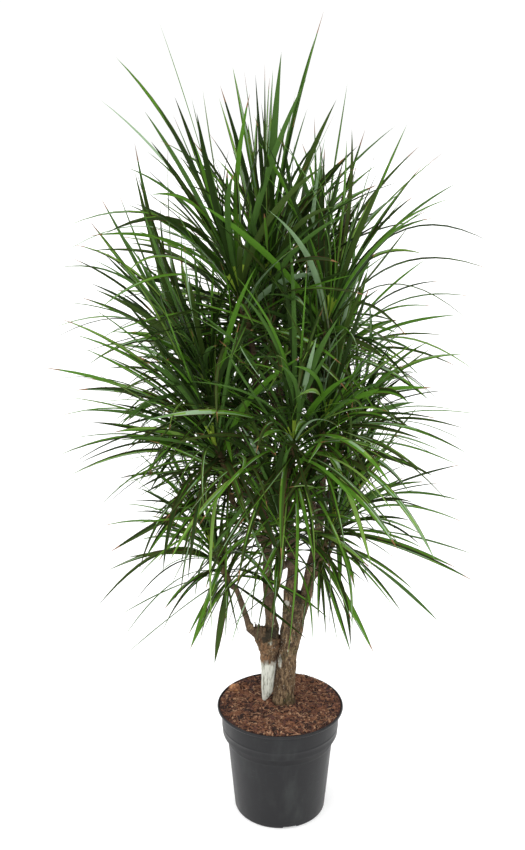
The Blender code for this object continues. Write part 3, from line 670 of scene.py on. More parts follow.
class DragonTreePotSettings(bpy.types.PropertyGroup):
    """The nursery pot."""

    plastic: colour_property("Plastic", "Colour of the pot", (28, 28, 30))
    worn: colour_property("Worn plastic", "Colour of scuffs and dust", (56, 59, 58))
    # Painted shade on the shoulder's sloping face, which looks down
    clean: colour_property("Painted shoulder shade", "Colour under the shoulder, where no dust lies", (23, 23, 25))
    rib_depth: length_property("Rib", "How far the fine rib on the collar stands out", 0.0005)
    sides: IntProperty(name="Sides", description="Steps round the pot", default=144, min=24)


class DragonTreeMixSettings(bpy.types.PropertyGroup):
    """The potting mix."""

    dark: colour_property("Dark mix", "Colour of the fine mix", (46, 28, 22))
    russet: colour_property("Russet chips", "Colour of most chips", (122, 80, 56))
    brown: colour_property("Brown chips", "Colour of the darker chips", (84, 52, 42))
    tan: colour_property("Tan chips", "Colour of the lighter chips", (166, 128, 98))
    lump: colour_property("Lump", "Colour of the large lump", (172, 122, 80))
    relief: length_property("Relief", "How far the mix is uneven", 0.0046)
    chips: IntProperty(name="Chips", description="Number of chips", default=4400, min=0)
    fibres: IntProperty(name="Fibres", description="Number of fibres", default=1100, min=0)


class DragonTreeBarkSettings(bpy.types.PropertyGroup):
    """Trunks and canes."""

    bark: colour_property("Bark", "Main colour of the bark", (98, 79, 58))
    pale: colour_property("Pale bark", "Colour of the worn ridges", (150, 126, 96))
    fissure: colour_property("Fissures", "Colour of the cracks", (48, 35, 26))
    lichen: colour_property("Lichen", "Colour of the grey-green growth", (72, 72, 46))
    # Dark patches: painted shade in the hollow at the right trunk's fork, and a darker upper knuckle
    deep: colour_property("Dark patches", "Colour of the darkest growth", (40, 36, 26))
    knuckle: colour_property("Knuckle", "Colour of the swollen knuckle", (120, 89, 63))
    bare: colour_property("Bare wood", "Colour of the stripped wood", (200, 201, 190))
    cane: colour_property("Canes", "Colour of the young canes", (88, 72, 56))
    detail: length_property("Detail", "Size of the finest relief", 0.0016)
    fissure_depth: length_property("Fissure depth", "Depth of the cracks in the trunks", 0.0021)
    lump: length_property("Unevenness", "How far the trunks are uneven", 0.0022)
    ring_depth: length_property("Leaf scars", "Depth of the rings on the canes", 0.0004)
    ring_spacing: length_property("Scar spacing", "Distance between the rings on the canes", 0.0065)


class DragonTreeLeafSettings(bpy.types.PropertyGroup):
    """Heads of leaves."""

    count: IntProperty(name="Leaves", description="Leaves tried on each head", default=88, min=1)
    width: length_property("Width", "Width of a full leaf", 0.0112)
    thickness: length_property("Thickness", "Thickness of a leaf at its middle", 0.0009)
    deep: colour_property("Deep green", "Colour of the older leaves", (33, 50, 16))
    olive: colour_property("Olive", "Colour of the dull older leaves", (54, 72, 28))
    full: colour_property("Green", "Colour of most leaves", (72, 112, 32))
    fresh: colour_property("Fresh green", "Colour of the younger leaves", (108, 140, 62))
    young: colour_property("Young base", "Colour of a young leaf's foot", (144, 172, 62))
    under: colour_property("Underside", "Colour of the undersides", (64, 94, 40))
    sheen: colour_property("Sheen", "Colour of the leaves that catch the light", (122, 150, 112))
    margin: colour_property("Margin", "Colour of the thin edge", (62, 40, 26))
    dry: colour_property("Dry tip", "Colour of a dry tip", (120, 88, 58))
    stem: colour_property("Stem", "Colour of the stem between the leaves", (84, 72, 50))
    seed: IntProperty(name="Seed", description="Start of the chances", default=14)


SETTINGS = (
    ("stage", DragonTreeStageSettings),
    ("pot", DragonTreePotSettings),
    ("mix", DragonTreeMixSettings),
    ("bark", DragonTreeBarkSettings),
    ("leaf", DragonTreeLeafSettings),
)


def settings(context, kind):
    """The user's settings of one kind."""
    return getattr(context.scene, "dragon_tree_" + kind)


class Value:
    """A shader socket that Python expressions can use."""

    def __init__(self, graph, socket):
        self.graph = graph
        self.socket = socket

    def __add__(self, other):
        return self.graph.math("ADD", self, other)

    def __sub__(self, other):
        return self.graph.math("SUBTRACT", self, other)

    def __rsub__(self, other):
        return self.graph.math("SUBTRACT", other, self)

    def __mul__(self, other):
        return self.graph.math("MULTIPLY", self, other)

    __radd__ = __add__
    __rmul__ = __mul__


class Graph:
    """A new material whose nodes are made by name, settings and inputs."""

    def __init__(self, name):
        self.material = bpy.data.materials.new(name)
        self.material.use_nodes = True
        self.tree = self.material.node_tree
        self.shader = self.tree.nodes["Principled BSDF"]
        self.place = Value(self, self.node("ShaderNodeTexCoord").outputs["Object"])

    def node(self, kind, put=None, **inputs):
        """A node with its settings made first, then its sockets' values or links."""
        made = self.tree.nodes.new(kind)
        for key, value in (put or {}).items():
            setattr(made, key, value)
        for key, value in inputs.items():
            name = key.replace("_", " ").title()
            self.feed(made.inputs[name] if name in made.inputs else made.inputs[int(key[1:])], value)
        return made

    def feed(self, socket, value):
        if isinstance(value, Value):
            self.tree.links.new(value.socket, socket)
        elif socket.type == "RGBA" and len(value) == 3:
            socket.default_value = (*value, 1)
        else:
            socket.default_value = value

    def math(self, operation, a, b):
        return Value(self, self.node("ShaderNodeMath", {"operation": operation}, _0=a, _1=b).outputs[0])

    def stretched(self, x, y, z):
        """The place scaled along each axis."""
        made = self.node("ShaderNodeVectorMath", {"operation": "MULTIPLY"}, _0=self.place, _1=(x, y, z))
        return Value(self, made.outputs[0])

    def height(self):
        split = self.node("ShaderNodeSeparateXYZ", vector=self.place)
        return Value(self, split.outputs["Z"])

    def noise(self, place, scale, detail=3.0, roughness=0.55):
        made = self.node("ShaderNodeTexNoise", vector=place, scale=scale, detail=detail, roughness=roughness)
        return Value(self, made.outputs["Fac"])

    def between(self, value, low, high):
        """0 at low and 1 at high, smooth in between and held beyond. High may be the lower of the two."""
        smooth = {"interpolation_type": "SMOOTHSTEP"}
        made = self.node("ShaderNodeMapRange", smooth, value=value, from_min=low, from_max=high)
        return Value(self, made.outputs[0])

    def attribute(self, name):
        return Value(self, self.node("ShaderNodeAttribute", {"attribute_name": name}).outputs["Fac"])

    def mix(self, first, second, factor):
        """A colour between two colours."""
        made = self.node("ShaderNodeMix", {"data_type": "RGBA"})
        self.feed(made.inputs[0], factor)
        self.feed(made.inputs[6], first)
        self.feed(made.inputs[7], second)
        return Value(self, made.outputs[2])

    def bump(self, height, distance, strength):
        made = self.node("ShaderNodeBump", height=height, distance=distance, strength=strength)
        return Value(self, made.outputs["Normal"])

    def surface(self, **inputs):
        for key, value in inputs.items():
            self.feed(self.shader.inputs[key.replace("_", " ").title().replace("Ior", "IOR")], value)
        return self.material


def plain(name, colour, roughness=0.5, **inputs):
    """A material of one colour."""
    return Graph(name).surface(base_color=tuple(colour), roughness=roughness, **inputs)


def add_piece(name, mesh, materials, replaced=(), smooth_angle=None):
    """A finished piece of the plant, riding on its one body."""
    for material in materials:
        mesh.materials.append(material)
    if smooth_angle is not None:
        mesh.shade_smooth()
        mesh.set_sharp_from_angle(angle=smooth_angle)
    ob = bpy.data.objects.new(name, mesh)
    bpy.context.scene.collection.objects.link(ob)
    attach(ob, "root")
    if replaced:
        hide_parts(*replaced)


def to_mesh(name, bm):
    """The bmesh as a mesh. The bmesh is freed."""
    mesh = bpy.data.meshes.new(name)
    bm.to_mesh(mesh)
    bm.free()
    return mesh


def evaluated_mesh(ob):
    """The object's mesh with its modifiers applied. The object is removed."""
    bpy.context.view_layer.update()
    mesh = bpy.data.meshes.new_from_object(ob.evaluated_get(bpy.context.evaluated_depsgraph_get()))
    bpy.data.objects.remove(ob, do_unlink=True)
    return mesh


def spun(profile, steps):
    """A closed bmesh turned about Z from a profile that starts and ends on the axis."""
    bm = bmesh.new()
    verts = [bm.verts.new((radius, 0, height)) for radius, height in profile]
    edges = [bm.edges.new(pair) for pair in zip(verts, verts[1:])]
    bmesh.ops.spin(
        bm,
        geom=verts + edges,
        cent=(0, 0, 0),
        axis=UP,
        dvec=(0, 0, 0),
        angle=2 * math.pi,
        steps=steps,
        use_merge=True,
    )
    bmesh.ops.remove_doubles(bm, verts=bm.verts, dist=1e-6)
    bmesh.ops.recalc_face_normals(bm, faces=bm.faces[:])
    return bm


def smooth_curve(points, start_way, end_way, steps):
    """Points along a Hermite curve through the given points, with the given end directions."""
    points = [Vector(p) for p in points]
    ways = [(b - a).normalized() for a, b in zip(points, points[2:])]
    ways = [Vector(start_way).normalized(), *ways, Vector(end_way).normalized()]
    places = []
    for (a, b), (u, v) in zip(zip(points, points[1:]), zip(ways, ways[1:])):
        span = (b - a).length
        for k in range(steps):
            t = k / steps
            places.append(
                a * (2 * t**3 - 3 * t**2 + 1) + u * span * (t**3 - 2 * t**2 + t)
                + b * (3 * t**2 - 2 * t**3) + v * span * (t**3 - t**2)
            )
    return [*places, points[-1]]


def head_axis(head):
    """The way that a head's stem points: up, and leaning out from the middle."""
    place = HEADS[head][0]
    return Vector((HEAD_LEAN * place[0], HEAD_LEAN * place[1], 1)).normalized()


def stem_foot(head):
    """Where a bough ends and its head's stem starts."""
    return Vector(HEADS[head][0]) - head_axis(head) * STEM_LENGTH


class Limb:
    """A trunk or bough: places along its middle, half widths there, and the trunk that it belongs to."""

    def __init__(self, places, halves, trunk):
        self.places = places
        self.halves = halves
        self.trunk = trunk

    def way(self, i):
        """Its direction at one of its places."""
        a, b = self.places[max(i - 1, 0)], self.places[min(i + 1, len(self.places) - 1)]
        return (b - a).normalized()

    def at_height(self, height):
        """Place, direction and radius where the middle passes a height."""
        for i, (a, b) in enumerate(zip(self.places, self.places[1:])):
            if a.z <= height <= b.z:
                t = (height - a.z) / (b.z - a.z)
                return a.lerp(b, t), self.way(i), max(self.halves[i]) * (1 - t) + max(self.halves[i + 1]) * t
        raise ValueError(f"the limb doesn't pass the height {height}")


def trunk_limb(name):
    """A trunk in even steps through its cross-sections."""
    rows = np.array(TRUNKS[name])
    at = np.linspace(TRUNK_FOOT, rows[-1, 0], TRUNK_STEPS)
    x, y, half_x, half_y = (np.interp(at, rows[:, 0], rows[:, k]) for k in range(1, 5))
    places = [Vector(p) for p in zip(x, y, at)]
    return Limb(places, list(zip(half_x, half_y)), name)


def bough_limb(head, trunk, start, start_way, start_radius, end_radius, way_points):
    """A bough from its start to the foot of its head's stem."""
    axis = head_axis(head)
    places = smooth_curve([start, *way_points, stem_foot(head)], start_way, axis, LIMB_STEPS)
    steps = [0.0] + [(b - a).length for a, b in zip(places, places[1:])]
    shares = np.cumsum(steps) / sum(steps)
    radii = start_radius + (end_radius - start_radius) * shares**TAPER_POWER
    return Limb(places, [(r, r) for r in radii], trunk)


def limbs_and_forks():
    """Every trunk and bough by name, and the short tubes that grow each bough into its parent."""
    limbs = {name: trunk_limb(name) for name in TRUNKS}
    forks = []
    for head, trunk, foot, start_radius, end_radius, way_points in MAIN_BOUGHS:
        start = Vector((*foot, limbs[trunk].places[-1].z))
        way = (Vector(way_points[0]) - start).normalized()
        limbs["bough_" + head] = bough_limb(head, trunk, start, way, start_radius, end_radius, way_points)
        inward = Vector(((limbs[trunk].places[-1].x - start.x) * MAIN_FORK_INWARD, 0, 0))
        places = [start - way * MAIN_FORK_DEPTH + inward, start, start + way * MAIN_FORK_LENGTH]
        forks.append(Limb(places, [(start_radius * k,) * 2 for k in MAIN_FORK_SWELL], trunk))
    for head, parent, height, start_radius, end_radius, way_points in SIDE_BOUGHS:
        limb = limbs[parent]
        root, along, thickness = limb.at_height(height)
        out = (Vector(way_points[0]) if way_points else stem_foot(head)) - root
        out = (out - along * out.dot(along)).normalized()
        way = (along * math.cos(FORK_ANGLE) + out * math.sin(FORK_ANGLE)).normalized()
        reach = (thickness + start_radius * math.cos(FORK_ANGLE)) / math.sin(FORK_ANGLE) + FORK_CLEARANCE
        start = root + way * reach
        bough = bough_limb(head, limb.trunk, start, way, start_radius, end_radius, way_points)
        limbs["bough_" + head] = bough
        places = [root, root.lerp(start, 0.5), start, start + way * FORK_LENGTH]
        forks.append(Limb(places, [(start_radius * k,) * 2 for k in FORK_SWELL], limb.trunk))
    for parent, start, end, start_radius, end_radius in STUBS:
        halves = [(start_radius,) * 2, (end_radius,) * 2]
        forks.append(Limb([Vector(start), Vector(end)], halves, limbs[parent].trunk))
    chance = random.Random(8)
    for _ in range(SPLINTERS):
        foot = SPLINTER_PLACE + Vector((chance.uniform(-1, 1), chance.uniform(-1, 1), 0)) * SPLINTER_SPREAD
        way = Vector((chance.gauss(0, SPLINTER_LEAN), chance.gauss(0, SPLINTER_LEAN), 1))
        top = foot + way * chance.uniform(*SPLINTER_LENGTH)
        forks.append(Limb([foot, top], SPLINTER_HALVES, "trunk_left"))
    return limbs, forks


def add_tube(bm, limb, sides):
    """A closed tube along a limb."""
    loops = []
    across = limb.way(0).orthogonal() if abs(limb.way(0).z) < 0.9 else Vector((1, 0, 0))
    for i, (place, half) in enumerate(zip(limb.places, limb.halves)):
        way = limb.way(i)
        across = (across - way * across.dot(way)).normalized()
        turn = Matrix((across, way.cross(across), way)).transposed().to_4x4()
        stretch = Matrix.Diagonal((half[0], half[1], 1, 1))
        matrix = Matrix.Translation(place) @ turn @ stretch
        verts = bmesh.ops.create_circle(bm, segments=sides, radius=1, matrix=matrix)["verts"]
        loops.append(list({edge for vert in verts for edge in vert.link_edges}))
    for low, high in zip(loops, loops[1:]):
        bmesh.ops.bridge_loops(bm, edges=low + high)
    bmesh.ops.holes_fill(bm, edges=loops[0] + loops[-1], sides=0)


def layered(point, layers):
    """Noise at a place, summed over layers of a fineness and a reach."""
    return sum(reach * noise.noise(point * fineness) for fineness, reach in layers)


def fissure(place):
    """Depth of the cracks at a place, from 0 to 1: long and narrow up the trunk."""
    fineness, reach = CRACK_BRANCHES
    wave = noise.noise(place) + reach * noise.noise(place * fineness + CRACK_SHIFT)
    return max(0.0, 1 - abs(wave) / CRACK_WIDTH)


def in_patches(point, patches):
    """How much a place is inside any of the ragged patches, from 0 to 1."""
    ragged = layered(point, PATCH_RAGGED)
    inside = 0.0
    for height, x, tall, wide in patches:
        away = math.hypot((point.z - height) / tall, (point.x - x) / wide)
        inside = max(inside, min(max((1 - away + ragged) / PATCH_SOFTNESS, 0), 1))
    return inside


def limb_rows(limbs):
    """Every step of every limb: name, place, radius, the limb's first direction and the way along to it."""
    rows = []
    for name, limb in limbs.items():
        along = 0.0
        for i, place in enumerate(limb.places):
            along += (place - limb.places[i - 1]).length if i else 0.0
            rows.append((name, place, max(limb.halves[i]), limb.way(0), along))
    return rows


def share_of(value, low, high):
    """0 at low and 1 at high, held between."""
    return min(max((value - low) / (high - low), 0), 1)


def cane_share(name, point, radius, along):
    """How far the bark has turned from a trunk's to a cane's."""
    if name in TRUNKS:
        top = TRUNKS[name][-1][0]
        return share_of(point.z, top - TRUNK_CANE_FADE[0], top + TRUNK_CANE_FADE[1])
    if name[len("bough_"):] in {row[0] for row in MAIN_BOUGHS}:
        return share_of(along + THINNESS_EFFECT * (CANE_RADIUS - radius), 0, BOUGH_CANE_FADE)
    return 1.0


def moss_share(name, point):
    """How much grey-green growth lies on a place."""
    height, half, layers = LEFT_MOSS if name == "trunk_left" else RIGHT_MOSS
    return share_of(layered(point, layers) + MOSS_COVER - abs(point.z - height) / half, 0, 1)


def relief_of(mesh, limbs, look):
    """Moves a smooth wood mesh out and in to its bark, and stores what kind of surface each place is."""
    rows = limb_rows(limbs)
    tree = kdtree.KDTree(len(rows))
    for i, row in enumerate(rows):
        tree.insert(row[1], i)
    tree.balance()
    count = len(mesh.vertices)
    places = np.empty(count * 3)
    mesh.vertices.foreach_get("co", places)
    places = places.reshape(-1, 3)
    normals = np.array([vert.normal for vert in mesh.vertices])
    kinds = {name: np.zeros(count, np.float32) for name in BARK_KINDS}
    moves = np.zeros(count)
    for v, point in enumerate(places):
        point = Vector(point)
        name, middle, radius, way, along = rows[tree.find(point)[1]]
        cane = cane_share(name, point, radius, along)
        bare = 0.0
        if name == "trunk_left":
            fineness, reach = BARE_RAGGED_ROUND
            ragged = reach * noise.noise(Vector((point.x * fineness, point.y * fineness, 3)))
            ragged += layered(point, [BARE_RAGGED_FINE])
            bare = 1 - share_of(point.z + ragged, BARE_TOP - BARE_FADE, BARE_TOP)
        knuckle = (1 - bare) * (1 - cane) if name == "trunk_left" else 0.0
        fine = point * Vector(BARK_GRAIN)
        crack = fissure(fine) * (1 - CRACK_LOSS * cane) * (1 - bare)
        turn = (along + (point - middle).dot(way) + layered(point, RING_WOBBLE)) / look.ring_spacing
        ring = max(0.0, math.cos(turn * 2 * math.pi)) ** RING_SHARPNESS * cane
        seam = 0.0
        if name in MEETING:
            side, swell = MEETING[name]
            seam = max(0.0, side * normals[v][0]) ** 2
            seam *= share_of(point.z, MEETING_FOOT, MEETING_FOOT + MEETING_FOOT_FADE)
            seam *= 1 - share_of(point.z, MEETING_TOP - MEETING_TOP_FADE, MEETING_TOP)
            moves[v] = swell * seam
        lump = noise.noise(point * BARK_LUMP_FINENESS) * (1 - BARK_LUMP_LOSS * cane)
        moves[v] += (
            look.lump * lump * (1 - BARE_LUMP_LOSS * bare)
            - look.fissure_depth * crack * (1 - CRACK_DEPTH_LOSS * cane)
            - look.ring_depth * ring
            + knuckle * (KNUCKLE_RISE + layered(point, KNUCKLE_RELIEF))
            + GRAIN_DEPTH * noise.noise(fine * GRAIN_FINENESS) * (1 - GRAIN_LOSS * cane)
        )
        in_front = point.y < middle.y + PATCH_FRONT
        patch = BARE_PATCH_STRENGTH * in_patches(point, BARE_PATCHES) if in_front else 0.0
        moss = moss_share(name, point) * (1 - bare)
        # The dark patches: painted shade in the hollow at the right trunk's fork, and a darker upper knuckle
        dark = in_patches(point, DARK_PATCHES)
        found = (cane, max(bare, patch), knuckle, max(crack, seam), ring, moss, dark)
        for kind, value in zip(BARK_KINDS, found):
            kinds[kind][v] = value
    places += normals * moves[:, None]
    mesh.vertices.foreach_set("co", places.ravel())
    for name, values in kinds.items():
        mesh.attributes.new(name, "FLOAT", "POINT").data.foreach_set("value", values)
    mesh.update()


def bark_material(look):
    """Fissured bark, bare wood, the reddish knuckle and ringed canes."""
    graph = Graph("dragon_tree_bark")
    cane, bare, knuckle = graph.attribute("cane"), graph.attribute("bare"), graph.attribute("knuckle")
    crease, ring = graph.attribute("crease"), graph.attribute("ring")
    tall = graph.stretched(1, 1, 0.2)
    streaks = graph.noise(tall, 190, 5, 0.6)
    flecks = graph.noise(graph.stretched(1, 1, 0.45), 420, 2)
    patches = graph.noise(graph.place, 34, 4, 0.6)
    cracks = graph.noise(tall, 420, 4, 0.65)
    colour = graph.mix(tuple(look.bark), tuple(look.pale), graph.between(streaks, 0.46, 0.68))
    colour = graph.mix(colour, tuple(look.fissure), graph.between(streaks, 0.47, 0.34) * 0.75)
    colour = graph.mix(colour, tuple(look.lichen), graph.between(patches, 0.50, 0.66) * 0.6)
    moss = graph.attribute("moss")
    colour = graph.mix(colour, tuple(look.lichen), moss * graph.between(flecks, 0.36, 0.56) * 0.85)
    colour = graph.mix(colour, tuple(look.fissure), moss * graph.between(cracks, 0.50, 0.42) * 0.8)
    colour = graph.mix(colour, tuple(look.knuckle), knuckle * graph.between(patches, 0.40, 0.56) * 0.85)
    cane_colour = graph.mix(tuple(look.cane), tuple(look.fissure), graph.between(streaks, 0.52, 0.36) * 0.6)
    cane_colour = graph.mix(cane_colour, tuple(look.pale), graph.between(patches, 0.52, 0.66) * 0.5)
    colour = graph.mix(colour, cane_colour, cane)
    colour = graph.mix(colour, tuple(look.fissure), ring * 0.55)
    # Darker in the cracks, partly the bark's own colour and partly painted shade, and painted shade along the
    # seam where the trunks meet
    colour = graph.mix(colour, tuple(look.fissure), crease * 0.8)
    colour = graph.mix(colour, tuple(look.bare), graph.between(flecks, 0.66, 0.72) * (1 - cane) * 0.7)
    blotches = graph.noise(graph.stretched(1, 1, 0.6), 165, 4, 0.65)
    colour = graph.mix(colour, tuple(look.fissure), graph.between(blotches, 0.47, 0.36) * 0.8)
    colour = graph.mix(colour, tuple(look.pale), graph.between(blotches, 0.58, 0.70) * (1 - cane) * 0.5)
    # The dark patches: painted shade in the hollow at the right trunk's fork, and a darker upper knuckle
    colour = graph.mix(colour, tuple(look.deep), graph.attribute("dark") * 0.9)
    wood = graph.mix(tuple(look.bare), tuple(look.lichen), graph.between(streaks, 0.52, 0.36) * 0.65)
    colour = graph.mix(colour, wood, bare)
    height = streaks * 0.5 + cracks * 0.5 + ring * -0.4
    return graph.surface(
        base_color=colour,
        specular_ior_level=0.2,
        roughness=graph.between(patches, 0.2, 0.8) * 0.2 + 0.72,
        normal=graph.bump(height, 0.0016, 0.8),
    )


class DRAGONTREE_OT_wood(bpy.types.Operator):
    """Add both trunks with their boughs, as two continuous skins of bark"""

    bl_idname = "dragon_tree.add_wood"
    bl_label = "Add trunks and canes"

    def execute(self, context):
        look = settings(context, "bark")
        limbs, forks = limbs_and_forks()
        material = bark_material(look)
        for trunk, name in (("trunk_right", "right_trunk_and_canes"), ("trunk_left", "left_trunk_and_canes")):
            own = {key: limb for key, limb in limbs.items() if limb.trunk == trunk}
            bm = bmesh.new()
            for limb in [*own.values(), *(fork for fork in forks if fork.trunk == trunk)]:
                add_tube(bm, limb, TUBE_SIDES)
            bmesh.ops.recalc_face_normals(bm, faces=bm.faces[:])
            rough = bpy.data.objects.new(name + "_tubes", to_mesh(name + "_tubes", bm))
            context.scene.collection.objects.link(rough)
            skin = rough.modifiers.new("Skin", "REMESH")
            skin.mode = "VOXEL"
            skin.voxel_size = look.detail
            skin.use_smooth_shade = True
            mesh = evaluated_mesh(rough)
            bm = bmesh.new()
            bm.from_mesh(mesh)
            for _ in range(SKIN_SMOOTHING):
                bmesh.ops.smooth_vert(
                    bm, verts=bm.verts, factor=0.5, use_axis_x=True, use_axis_y=True, use_axis_z=True
                )
            bm.normal_update()
            bm.to_mesh(mesh)
            bm.free()
            relief_of(mesh, own, look)
            mesh.name = name
            mesh.materials.clear()
            add_piece(name, mesh, [material], list(own), BARK_SMOOTH)
        return {"FINISHED"}


def bend(radius, height, steps):
    """Points of an outline, as steps out and up from a corner."""
    return [(radius + out, height + up) for out, up in steps]


def pot_profile(rib):
    """Half outline of the pot, from the middle of its underside round its wall to the middle of its floor."""
    foot = POT_BASE_RADIUS
    slope = (POT_BODY_TOP_RADIUS - foot) / (POT_STEP_FOOT - POT_BASE_ROUND)
    outline = [(0, 0), (foot * 0.5, 0), (foot - POT_BASE_ROUND, 0)]
    for k in range(1, BASE_ARC_STEPS + 1):
        a = math.radians(90 * k / BASE_ARC_STEPS)
        outline.append((foot - POT_BASE_ROUND * (1 - math.sin(a)), POT_BASE_ROUND * (1 - math.cos(a))))
    for height in WALL_HEIGHTS:
        outline.append((foot + slope * (height - POT_BASE_ROUND), height))
    body_top = foot + slope * (SHOULDER_FOOT - POT_BASE_ROUND)
    rim_foot = POT_HEIGHT - POT_RIM_DEPTH
    outline += [
        *bend(body_top, SHOULDER_FOOT, SHOULDER_FOOT_BEND),
        *bend(POT_COLLAR_FOOT_RADIUS + COLLAR_FLARE, SHOULDER_TOP, SHOULDER_TOP_BEND),
        *bend(POT_COLLAR_FOOT_RADIUS, RIB_HEIGHT, RIB_FOOT_BEND),
        *bend(POT_COLLAR_FOOT_RADIUS + RIB_ROOT + rib, RIB_HEIGHT, RIB_FACE),
        *bend(POT_COLLAR_FOOT_RADIUS, RIB_HEIGHT, RIB_TOP_BEND),
        *bend(POT_COLLAR_TOP_RADIUS, rim_foot, UNDER_RIM_BEND),
    ]
    lip = POT_RIM_DEPTH / 2
    for angle in LIP_ANGLES:
        a = math.radians(angle)
        radius = POT_RIM_RADIUS - lip * LIP_FLATNESS * (1 - math.cos(a))
        outline.append((radius, POT_HEIGHT - lip + lip * math.sin(a)))
    outline += [
        *bend(LIP_INNER_RADIUS, POT_HEIGHT, LIP_INNER_BEND),
        LIP_FOOT,
        COLLAR_INNER,
        (POT_COLLAR_TOP_RADIUS - POT_WALL, POT_HEIGHT - COLLAR_INNER_DROP),
        (POT_COLLAR_FOOT_RADIUS - POT_WALL, POT_COLLAR_FOOT + POT_WALL),
        (POT_BODY_TOP_RADIUS - POT_WALL, POT_STEP_FOOT + POT_WALL),
        (foot - POT_WALL, POT_FLOOR),
        (0, POT_FLOOR),
    ]
    return outline


def pot_material(look):
    """Matte moulded plastic with a faint grain, streaks of dust and scuffs."""
    graph = Graph("dragon_tree_pot_plastic")
    grain = graph.noise(graph.place, 900, 2)
    dust = graph.noise(graph.stretched(1, 1, 0.35), 26, 5, 0.62)
    scuffs = graph.noise(graph.stretched(0.25, 0.25, 1.6), 190, 3, 0.6)
    colour = graph.mix(tuple(look.plastic), tuple(look.worn), graph.between(dust, 0.45, 0.80) * 0.5)
    colour = graph.mix(colour, tuple(look.worn), graph.between(scuffs, 0.63, 0.75) * 0.35)
    # The shoulder's sloping face, which looks down, gets painted shade and a rougher surface
    shoulder = graph.between(graph.height(), SHOULDER_FOOT - 0.001, SHOULDER_FOOT + 0.001)
    shoulder = shoulder * graph.between(graph.height(), SHOULDER_TOP + 0.002, SHOULDER_TOP - 0.004)
    colour = graph.mix(colour, tuple(look.clean), shoulder)
    return graph.surface(
        base_color=colour,
        roughness=graph.between(dust, 0.25, 0.75) * 0.14 + shoulder * 0.22 + 0.34,
        specular_ior_level=0.22,
        normal=graph.bump(grain, 0.00025, 0.35),
    )


class DRAGONTREE_OT_pot(bpy.types.Operator):
    """Add the nursery pot"""

    bl_idname = "dragon_tree.add_pot"
    bl_label = "Add pot"

    def execute(self, context):
        look = settings(context, "pot")
        uncut = to_mesh("pot_uncut", spun(pot_profile(look.rib_depth), look.sides))
        pot = bpy.data.objects.new("pot_uncut", uncut)
        context.scene.collection.objects.link(pot)
        bm = bmesh.new()
        for k in range(NOTCH_COUNT):
            angle = NOTCH_FIRST_ANGLE + k * 2 * math.pi / NOTCH_COUNT
            box = bmesh.ops.create_cube(bm, size=1.0)["verts"]
            bmesh.ops.scale(bm, verts=box, vec=(NOTCH_SIZE.x, NOTCH_SIZE.y, 2 * NOTCH_SIZE.z))
            bmesh.ops.translate(bm, verts=box, vec=(POT_BASE_RADIUS, 0, 0))
            bmesh.ops.rotate(bm, verts=box, cent=(0, 0, 0), matrix=Quaternion(UP, angle).to_matrix())
        upright = [edge for edge in bm.edges if abs((edge.verts[0].co - edge.verts[1].co).z) > NOTCH_SIZE.z]
        bmesh.ops.bevel(
            bm, geom=upright, offset=NOTCH_ROUND, affect="EDGES", segments=2, profile=0.5, material=-1
        )
        notches = bpy.data.objects.new("notches", to_mesh("notches", bm))
        context.scene.collection.objects.link(notches)
        cut = pot.modifiers.new("Notches", "BOOLEAN")
        cut.operation = "DIFFERENCE"
        cut.solver = "EXACT"
        cut.object = notches
        mesh = evaluated_mesh(pot)
        bpy.data.objects.remove(notches, do_unlink=True)
        mesh.name = "pot_shell"
        mesh.materials.clear()
        add_piece("pot_shell", mesh, [pot_material(look)], ["pot"], POT_SMOOTH)
        return {"FINISHED"}


def clear_of_trunks(x, y, margin):
    """Whether a place lies outside both trunks' feet."""
    for rows in TRUNKS.values():
        _, middle_x, middle_y, half_x, half_y = rows[0]
        if math.hypot((x - middle_x) / (half_x + margin), (y - middle_y) / (half_y + margin)) < 1:
            return False
    return True


def mix_height(x, y, relief):
    """Height of the mix's surface at a place."""
    radius = math.hypot(x, y)
    edge = max(0.0, (radius - MIX_FLAT_RADIUS) / (MIX_RADIUS - MIX_FLAT_RADIUS))
    relief *= 1 + (MIX_EDGE_RELIEF - 1) * edge
    rough = sum(share * noise.noise(Vector((x * fine, y * fine, layer))) for fine, layer, share in MIX_NOISE)
    away = math.hypot(x - MIX_HEAP_PLACE.x, y - MIX_HEAP_PLACE.y)
    heap = MIX_HEAP * math.exp(-((away / MIX_HEAP_SPREAD) ** 2))
    return MIX_TOP - MIX_SINK - MIX_EDGE_DROP * edge + heap + relief * rough


def mix_material(look):
    """Fine crumbs of dark and russet mix."""
    graph = Graph("dragon_tree_mix")
    crumbs = graph.noise(graph.place, 260, 5, 0.7)
    patches = graph.noise(graph.place, 60, 3)
    colour = graph.mix(tuple(look.dark), tuple(look.brown), graph.between(crumbs, 0.40, 0.58))
    russet = graph.between(crumbs, 0.55, 0.70) * graph.between(patches, 0.35, 0.6)
    colour = graph.mix(colour, tuple(look.russet), russet)
    return graph.surface(base_color=colour, roughness=0.95, normal=graph.bump(crumbs, 0.003, 0.9))


def scattered(chance, margin):
    """A place on the mix, clear of the trunks."""
    while True:
        radius = (MIX_RADIUS - SCATTER_EDGE) * math.sqrt(chance.random())
        angle = chance.uniform(0, 2 * math.pi)
        x, y = radius * math.cos(angle), radius * math.sin(angle)
        if clear_of_trunks(x, y, margin):
            return x, y


def joined(name, parts):
    """One mesh of many small ones, each given by places, faces and the number of each face's material."""
    places, faces, looks = [], [], []
    for part_places, part_faces, part_looks in parts:
        faces += [[i + len(places) for i in face] for face in part_faces]
        places += part_places
        looks += part_looks
    mesh = bpy.data.meshes.new(name)
    mesh.from_pydata(places, [], faces)
    mesh.polygons.foreach_set("material_index", looks)
    mesh.update()
    return mesh


def pattern_of(bm):
    """Places and faces of a small bmesh that is used many times."""
    bm.verts.index_update()
    bm.verts.ensure_lookup_table()
    places = [vert.co.copy() for vert in bm.verts]
    faces = [[vert.index for vert in face.verts] for face in bm.faces]
    bm.free()
    return places, faces


